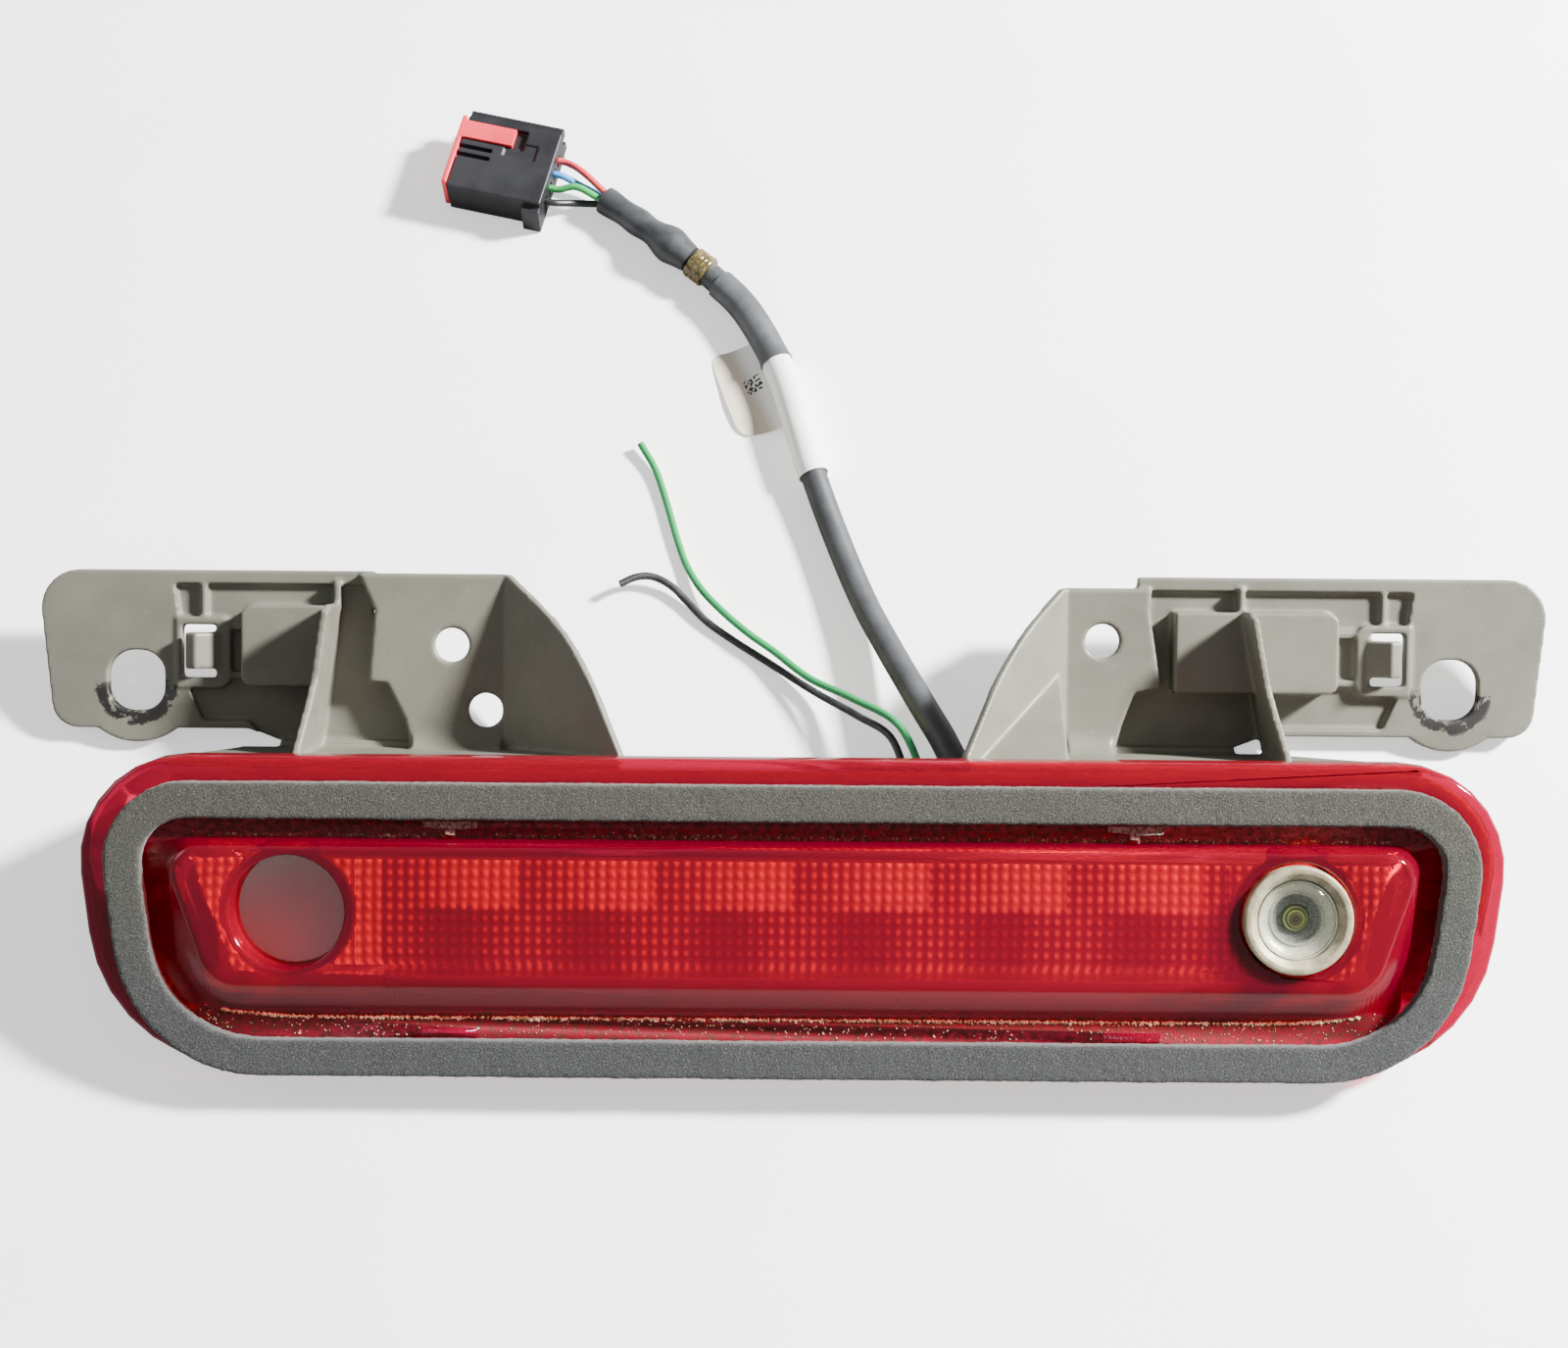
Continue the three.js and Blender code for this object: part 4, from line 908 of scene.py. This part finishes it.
class BRAKELIGHT_OT_connector(bpy.types.Operator):
    bl_idname = "brakelight.connector"
    bl_label = "Connector"

    def execute(self, context):
        sizes = context.scene.brakelight_cable
        # the shell is remeshed square to its own faces, so that they stay flat
        shell = place_by(copy_of_node("connector_housing", "connector_shell"), PLUG_AT.inverted())
        soften(shell, 0.00024, 2, 0.5)
        place_by(shell, PLUG_AT)
        pbt = moulded_plastic("glass_filled_pbt", "#1f1f21", "#262629", "#19191b", 0.42, 0.5, 0.03)
        finish_piece(shell, pbt, "connector_black", replaces=["connector_housing"])
        lock = copy_of_node("connector_lock", "connector_slide")
        round_edges(lock, 0.0003)
        red = moulded_plastic("red_polyamide", "#d02c3a", "#d83644", "#c22434", 0.4, 0.5, 0.02)
        finish_piece(lock, red, "lock_red", body="lock", replaces=["connector_lock"], angle=20)

        route = whole_route(CABLE_START, CABLE_REST)
        pieces = [bpy.data.objects[n] for n in context.scene["cable_pieces"]] + [shell, lock]
        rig.cord(bpy.data.objects["cable_jacket"], exit=route[0], length=run_length(route),
                diameter=sizes.diameter, far_end="connector", stiffness="medium", lay="loose",
                with_pieces=pieces)
        return {"FINISHED"}


class BRAKELIGHT_OT_supply_wires(bpy.types.Operator):
    """Lays the LEDs' two cut supply wires"""

    bl_idname = "brakelight.supply_wires"
    bl_label = "Supply wires"

    def execute(self, context):
        sizes = context.scene.brakelight_cable
        radius = sizes.wire_diameter / 2
        black_run = whole_route(BLACK_START, BLACK_REST)
        black = cable_curve("supply_wire_black", black_run, radius)
        pvc = jacket_plastic("pvc_supply_black", "#2a2a2c", "#343436", "#1f1f21", 0.4)
        finish_piece(black, pvc, "wire_black", replaces=["led_wire_black"])
        green_run = whole_route(GREEN_START, GREEN_REST)
        green = tube_mesh("supply_wire_earth", green_run, radius, 16)
        striped = striped_insulation("pvc_earth_insulation", "#1f8a4c", "#e8df4a")
        finish_piece(green, striped, "wire_earth", replaces=["led_wire_green"])
        for obj, run in ((black, black_run), (green, green_run)):
            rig.cord(obj, exit=run[0], length=run_length(run), diameter=sizes.wire_diameter, far_end="bare",
                    stiffness="limp", lay="loose", path=None if obj.type == "CURVE" else run)
        return {"FINISHED"}


# ---------------------------------------------------------------- lens, optics and gasket
class BRAKELIGHT_OT_outer_lens(bpy.types.Operator):
    """Rounds the outer lens and gives it its clear red finish"""

    bl_idname = "brakelight.outer_lens"
    bl_label = "Outer lens"

    def execute(self, context):
        sizes = context.scene.brakelight_lens
        lens = place_by(copy_of_node("outer_lens", "lens_shell"), OFF_LAMP)

        def level(ends, z):
            return all(abs(p.z - z) < 0.05 for p in ends)

        def from_port(p):
            return math.hypot(abs(p.x) - PORT_X, p.y - PORT_Y)

        def flange_edge(ends):
            return level(ends, 0) and all(abs(p.x) > 147.9 or p.y < -28.4 or p.y > 25 for p in ends)

        def window_edge(ends):
            return level(ends, WINDOW_FACE) and all(from_port(p) > 14.2 for p in ends)

        def port_edge(ends):
            return level(ends, WINDOW_FACE) and all(from_port(p) < 13.6 for p in ends)

        bevel_where(lens, sizes.edge_radius, 5, flange_edge)
        bevel_where(lens, sizes.window_radius, 5, window_edge)
        bevel_where(lens, 0.0006, 3, port_edge)
        place_by(lens, ON_LAMP)
        finish_piece(lens, clear_red_plastic(sizes), "red_lens", replaces=["outer_lens"], angle=40)
        return {"FINISHED"}


class BRAKELIGHT_OT_pillow_optics(bpy.types.Operator):
    """Moulds the pillow optics behind the window and at its two ends"""

    bl_idname = "brakelight.pillow_optics"
    bl_label = "Pillow optics"

    def execute(self, context):
        sizes = context.scene.brakelight_lens
        material = pillow_plastic(sizes)
        for name, x0, x1, top, thick in (("pillow_optic", -100.8, 100.8, 3.4, 1.3),
                                         ("end_pillows_left", -139.6, -100.9, 4.35, 0.5),
                                         ("end_pillows_right", 100.9, 140.2, 4.35, 0.5)):
            sheet = self.pillows(name, x0, x1, top - sizes.pillow_rise / MM, sizes)
            if name != "pillow_optic":
                self.trim_end(sheet)
            add_modifier(sheet, "SOLIDIFY", thickness=thick * MM, offset=-1)
            place_by(sheet, ON_LAMP)
            replaced = ["inner_optic"] if name == "pillow_optic" else []
            finish_piece(sheet, material, "red_optic", replaces=replaced, angle=60)
        return {"FINISHED"}

    def pillows(self, name, x0, x1, z, sizes):
        """A sheet of domes in a regular grid between two places along the lamp"""
        y0, y1 = -12.6, 13.9
        pitch_x = sizes.pillow_width / MM
        pitch_y = sizes.pillow_height / MM
        bpy.ops.object.select_all(action="DESELECT")
        bpy.ops.mesh.primitive_grid_add(x_subdivisions=round((x1 - x0) / pitch_x * 5), size=1,
                                        y_subdivisions=round((y1 - y0) / pitch_y * 5))
        obj = bpy.context.object
        obj.name = name
        rise = sizes.pillow_rise / MM
        for vertex in obj.data.vertices:
            x = x0 + (vertex.co.x + 0.5) * (x1 - x0)
            y = y0 + (vertex.co.y + 0.5) * (y1 - y0)
            dome = math.prod(0.5 + 0.5 * math.cos(2 * math.pi * at) for at in (x / pitch_x, y / pitch_y))
            vertex.co = in_metres(x, y, z + rise * dome**0.6)
        return obj

    def trim_end(self, obj):
        """Cuts an end's sheet back round the port and along the window's slanting end"""

        def outside(vertex):
            x, y = abs(vertex.co.x) / MM, vertex.co.y / MM
            return math.hypot(x - PORT_X, y - PORT_Y) < 15.5 or x > 139.4 - 0.37 * (13.9 - y)

        select_where(obj, "VERT", outside)
        bpy.ops.object.mode_set(mode="EDIT")
        bpy.ops.mesh.delete(type="VERT")
        bpy.ops.object.mode_set(mode="OBJECT")


class BRAKELIGHT_OT_location_tabs(bpy.types.Operator):
    """Puts the frosted, dusty faces on the lens's small location tabs"""

    bl_idname = "brakelight.location_tabs"
    bl_label = "Location tabs"

    def execute(self, context):
        outline = ((-6.3, 22.2), (-6.3, 20.9), (-1.1, 20.5), (-1.1, 19.2),
                   (1.1, 19), (1.1, 20.4), (6.3, 20.7), (6.3, 22.2))
        foot, thick = 1.56, 0.12
        left, right = (plate([(middle + x, y, foot) for x, y in outline], (0, 0, thick))
                       for middle in (-79.5, 79.5))
        tabs = place_by(join_to(left, right), ON_LAMP)
        tabs.name = "tab_faces"
        frosted = mottled("frosted_acrylic", "#84504e", "#6b2b30", "#a48472", 0.8, 0.7, 4, 0.7, (0.4, 0.6))
        finish_piece(tabs, frosted, "red_lens")
        return {"FINISHED"}


class BRAKELIGHT_OT_gasket(bpy.types.Operator):
    """Roughens the foam gasket and rounds its cut edges"""

    bl_idname = "brakelight.gasket"
    bl_label = "Gasket"

    def execute(self, context):
        sizes = context.scene.brakelight_gasket
        foam = place_by(copy_of_node("gasket", "foam_gasket"), OFF_LAMP)
        soften(foam, 0.00072, 3)
        outward = [v.normal.copy() for v in foam.data.vertices]
        for vertex, normal in zip(foam.data.vertices, outward):
            place = vertex.co / MM
            fine = noise.noise(place * 0.9) + 0.5 * noise.noise(place * 2.1)
            slow = noise.noise(place * 0.12)
            moved = vertex.co + normal * sizes.roughening * (0.55 * fine + 0.5 * slow - 0.2)
            moved.z = max(moved.z, 0.3 * MM)
            vertex.co = moved
        place_by(foam, ON_LAMP)
        finish_piece(foam, cell_foam(sizes), "foam", replaces=["gasket"], angle=80)
        return {"FINISHED"}


class BRAKELIGHT_OT_groove_dust(bpy.types.Operator):
    """Scatters the road dust that lies in the groove round the window"""

    bl_idname = "brakelight.groove_dust"
    bl_label = "Groove dust"

    def execute(self, context):
        chance = random.Random(7)
        grains = self.grains(chance)
        bpy.ops.object.select_all(action="DESELECT")
        bpy.ops.mesh.primitive_ico_sphere_add(subdivisions=1, radius=1)
        seed = context.object
        shape = [v.co.copy() for v in seed.data.vertices]
        sides = [tuple(f.vertices) for f in seed.data.polygons]
        bpy.ops.object.delete()
        verts = []
        faces = []
        for x, y, size in grains:
            start = len(verts)
            turn = Matrix.Rotation(chance.uniform(0, 6.28), 3, "Z")
            stretch = Vector((chance.uniform(0.7, 1.5), chance.uniform(0.7, 1.3), 0.55))
            verts += [(turn @ (v * stretch * size) + Vector((x, y, size * 0.4))) * MM for v in shape]
            faces += [tuple(start + i for i in side) for side in sides]
        dust = place_by(mesh_object("groove_dust", verts, faces), ON_LAMP)
        road_dust = mottled("road_dust", "#c8b48e", "#9c8159", "#dccba4", 2.0, 0.9, 2)
        finish_piece(dust, road_dust, "red_lens", angle=180)
        return {"FINISHED"}

    def grains(self, chance):
        """The place and size of each grain: drifts along the lower and the upper side of the groove"""
        low_edge, low_wall = -28.0, -23.75
        grains = []
        for count, x_reach, y, spread, size in ((2100, 133, -23.95, 0.18, 0.24), (560, 138, -26.0, 1.6, 0.13),
                                                (520, 141, 18.8, 0.3, 0.15), (160, 138, 20.4, 1.2, 0.1)):
            for _ in range(count):
                x = chance.uniform(-x_reach, x_reach)
                thick = 0.55 + 0.9 * noise.noise(Vector((x * 0.06, y, 0)))
                if chance.random() > 0.35 + thick:
                    continue
                across = y + chance.gauss(0, spread)
                if y < 0:
                    # towards the ends the drift rises with the window's corner
                    across = max(low_edge, min(low_wall, across)) + 0.0003 * max(0, abs(x) - 105) ** 2.6
                grains.append((x, across, size * chance.uniform(0.6, 1.4) * (0.7 + 0.6 * thick)))
        return grains


# ---------------------------------------------------------------- carrier
class BRAKELIGHT_OT_carrier(bpy.types.Operator):
    """Moulds the grey carrier: the tray and its two brackets, with rounded edges"""

    bl_idname = "brakelight.carrier"
    bl_label = "Carrier"

    def execute(self, context):
        sizes = context.scene.brakelight_carrier
        material = grey_carrier_plastic(sizes)
        for node, name, spacing, side, pocket_foot, shelf_end in (
            ("bracket_left", "carrier_arm_left", sizes.mesh_size, -1, 94, 137),
            ("bracket_right", "carrier_arm_right", sizes.mesh_size, 1, 79, 119.5),
            ("housing", "carrier_tray", sizes.tray_mesh_size, 0, 0, 0),
        ):
            piece = place_by(copy_of_node(node, name), OFF_LAMP)
            if side:
                join_to(piece, *self.webs(side, pocket_foot, shelf_end))
            soften(piece, spacing, 6, 0.62)
            place_by(piece, ON_LAMP)
            finish_piece(piece, material, "grey_carrier", replaces=[node], angle=50)
        return {"FINISHED"}

    def webs(self, side, pocket_foot, shelf_end):
        """Two flat webs: one closes the slit under the bracket's pocket, one lengthens its shelf"""
        slit_end = shelf_end - 10
        slit = [(pocket_foot, -41.6), (slit_end, -41.6), (slit_end, WING_FRONT), (pocket_foot, WING_FRONT)]
        shelf = [(shelf_end - 1, -8.3), (148, -8.3), (146, -14.3), (shelf_end - 1, -40.4)]
        for outline, low, high in ((slit, 33.6, 37.6), (shelf, 33.5, 35.9)):
            yield plate([(x * side, low, z) for x, z in outline], (0, high - low, 0))


# ---------------------------------------------------------------- camera
class BRAKELIGHT_OT_reversing_camera(bpy.types.Operator):
    """Turns the camera's ring, dome, cone and front element"""

    bl_idname = "brakelight.reversing_camera"
    bl_label = "Reversing camera"

    def execute(self, context):
        ring = turned("camera_ring", [
            (10.75, -6.2), (12.65, -6.2), (12.65, 8.35), (12.55, 8.7), (12.3, 8.93), (12.0, 9.0), (11.2, 9.0),
            (10.95, 8.92), (10.75, 8.75), (9.95, 8.0), (9.75, 7.85), (9.55, 7.62), (9.5, 5.8), (10.75, 4.6)])
        finish_piece(ring, painted_ring(), "bezel", replaces=["camera_bezel"])

        dome = []
        bowl = []
        for step in range(17):
            angle = step / 16 * math.pi / 2
            dome.append((9.2 * math.sin(angle), WINDOW_FACE + 2.9 * math.cos(angle)))
            bowl.insert(0, (8.4 * math.sin(angle), 6.6 + 1.9 * math.cos(angle)))
        glass = turned("camera_dome", dome + [(9.2, 6.6)] + bowl)
        clear = Finish("optical_glass", "#f2f6f5", 0.0, IOR=1.5, Transmission_Weight=1.0)
        clear.let_lamps_through("#f4f6f6")
        finish_piece(glass, clear.material, "camera_glass", replaces=["camera_glass"], angle=60)

        cone = turned("camera_cone", [
            (0, -1.9), (7.2, -1.9), (7.2, 3.2), (9.25, 5.4), (9.25, 6.1), (9.05, 6.3), (8.7, 6.25),
            (7.6, 5.45), (6.7, 4.95), (6.3, 4.9), (6.05, 5.1), (5.8, 5.12), (5.6, 4.9), (5.3, 4.05),
            (4.9, 3.6), (4.65, 3.55), (4.3, 3.15), (4.05, 3.1), (3.7, 2.8), (0, 2.8)])
        # the anodised barrel is pale at its lip and dim in its throat with painted shade, with a fine machined grain
        barrel = Finish("anodised_barrel", "#aaa897", 0.34, Metallic=0.3)
        fine = barrel.add("fade", barrel.add("speckle", barrel.places(on_lamp=True), 1 / 0.5, 2), 0.3, 0.7)
        pale = barrel.add("blend", fine, "#95917e", "#b8b4a0")
        painted_throat_shade = barrel.add("blend", fine, "#4f504a", "#7b7b70")
        lip = barrel.add("fade", barrel.from_camera_axis(), 5.2, 6.2)
        barrel.set(Base_Color=barrel.add("blend", lip, painted_throat_shade, pale))
        finish_piece(cone, barrel.material, "black_plastic", replaces=["camera_barrel"])

        front = turned("camera_element", [
            (0, 3.1), (3.3, 3.1), (3.2, 3.45), (2.9, 3.9), (2.4, 4.3), (1.8, 4.65), (1.1, 4.88), (0.5, 4.98),
            (0, 5)], 64)
        coated = Finish("coated_lens_element", "#4d5420", 0.03, IOR=1.6, Coat_Weight=1.0, Coat_Tint="#e4e8b0")
        # the coated element's inner mounts show as fine rings 0.8 mm apart round a dark stop, the stop being painted
        # shade
        radius = coated.from_camera_axis()
        rings = coated.add("sine", coated.add("multiply", radius, 2 * math.pi / 0.8))
        ringed = coated.add("blend", coated.add("fade", rings, -0.6, 0.8), "#2b2a18", "#77774a")
        # painted shade for the dark stop at the centre
        coated.set(Base_Color=coated.add("blend", coated.add("fade", radius, 1.3, 1.0), ringed, "#2a1c1a"))
        finish_piece(front, coated.material, "camera_glass", replaces=["camera_front_element"])
        return {"FINISHED"}


# ---------------------------------------------------------------- inner and rear pieces
class BRAKELIGHT_OT_inner_pieces(bpy.types.Operator):
    """Finishes the reflector, LEDs, board, screws, camera body and rubber pieces"""

    bl_idname = "brakelight.inner_pieces"
    bl_label = "Inner pieces"

    def execute(self, context):
        black = moulded_plastic("black_pbt", "#1e1f21", "#27282a", "#181819", 0.45)
        rubber = moulded_plastic("epdm_rubber", "#2a2a2b", "#323233", "#222223", 0.8, 1.0, 0.04)
        for node, name, width, material, slot in (
            ("camera_body", "camera_case", 0.5, black, "black_plastic"),
            ("camera_back", "camera_cover", 0.4, black, "black_plastic"),
            ("cable_strain_relief", "camera_strain_relief", 0.6, rubber, "black_rubber"),
            ("wire_grommet", "grommet", 0.3, rubber, "black_rubber"),
            ("vent_plug", "vent", 0.3, rubber, "black_rubber"),
            ("camera_seal", "camera_gasket", 0.3, rubber, "black_rubber"),
        ):
            piece = copy_of_node(node, name)
            round_edges(piece, width * MM)
            finish_piece(piece, material, slot, replaces=[node])

        silver = Finish("vacuum_metallised_plastic", "#dcd8d4", 0.14, Metallic=1.0)
        silver.set(Normal=silver.add("grain", silver.add("speckle", silver.places(), 1 / 4, 2), 0.05 * MM))
        board = mottled("solder_masked_board", "#1f5a38", "#1b5232", "#2a7048", 1.6, 0.35, 1,
                        edges=(0.5, 0.54), Coat_Weight=0.4)
        led = mottled("led_resin", "#f0e4c0", "#e6d59c", "#f6eed8", 1.0, 0.3, 2, edges=(0.4, 0.6))
        zinc = mottled("zinc_plated_steel", "#b4b8bb", "#a0a4a8", "#c6cacd", 0.7, 0.32,
                       edges=(0.4, 0.6), Metallic=1.0)
        tin = mottled("tinned_brass", "#c9b37a", "#b39c66", "#d6c690", 0.9, 0.35, 2,
                      edges=(0.4, 0.6), Metallic=1.0)
        for node, obj in frame["nodes"].items():
            for start, material in (("reflector", silver.material), ("led_board", board),
                                    ("sensor_board", board), ("led_", led), ("board_screw", zinc),
                                    ("camera_screw", zinc), ("terminal", tin)):
                if node.startswith(start) and not obj.hide_render:
                    obj.data.materials.clear()
                    obj.data.materials.append(material)
                    break
        return {"FINISHED"}


# ---------------------------------------------------------------- panel and run
class BRAKELIGHT_PT_panel(bpy.types.Panel):
    """Lists the settings and builders of the brake light"""

    bl_label = "Brake light"
    bl_idname = "BRAKELIGHT_PT_panel"
    bl_space_type = "VIEW_3D"
    bl_region_type = "UI"
    bl_category = "Brake light"

    def draw(self, context):
        for name, group in SETTINGS.items():
            box = self.layout.box()
            box.label(text=name.split("_")[1].title())
            for prop in group.__annotations__:
                box.prop(getattr(context.scene, name), prop)
        for operator in OPERATORS:
            self.layout.operator(operator.bl_idname)


OPERATORS = (
    BRAKELIGHT_OT_stage,
    BRAKELIGHT_OT_camera_cable,
    BRAKELIGHT_OT_connector,
    BRAKELIGHT_OT_supply_wires,
    BRAKELIGHT_OT_outer_lens,
    BRAKELIGHT_OT_pillow_optics,
    BRAKELIGHT_OT_location_tabs,
    BRAKELIGHT_OT_gasket,
    BRAKELIGHT_OT_groove_dust,
    BRAKELIGHT_OT_carrier,
    BRAKELIGHT_OT_reversing_camera,
    BRAKELIGHT_OT_inner_pieces,
)
SETTINGS = {
    "brakelight_lens": LensSettings,
    "brakelight_gasket": GasketSettings,
    "brakelight_carrier": CarrierSettings,
    "brakelight_cable": CableSettings,
}


def register():
    for name, group in SETTINGS.items():
        bpy.utils.register_class(group)
        setattr(bpy.types.Scene, name, PointerProperty(type=group))
    for cls in (*OPERATORS, BRAKELIGHT_PT_panel):
        bpy.utils.register_class(cls)


def unregister():
    for cls in reversed((*OPERATORS, BRAKELIGHT_PT_panel)):
        bpy.utils.unregister_class(cls)
    for name, group in SETTINGS.items():
        delattr(bpy.types.Scene, name)
        bpy.utils.unregister_class(group)


def main():
    register()
    bpy.ops.object.select_all(action="DESELECT")
    for operator in OPERATORS:
        if getattr(bpy.ops.brakelight, operator.bl_idname.split(".")[1])() != {"FINISHED"}:
            raise RuntimeError(f"the {operator.bl_label} operator didn't finish")
    bpy.ops.object.select_all(action="DESELECT")
    low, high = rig.bounds()
    with open("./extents.json", "w") as out:
        json.dump({"cad": [list(c) for c in CAD_BOX], "visual": [list(low), list(high)]}, out)


if __name__ == "__main__":
    main()
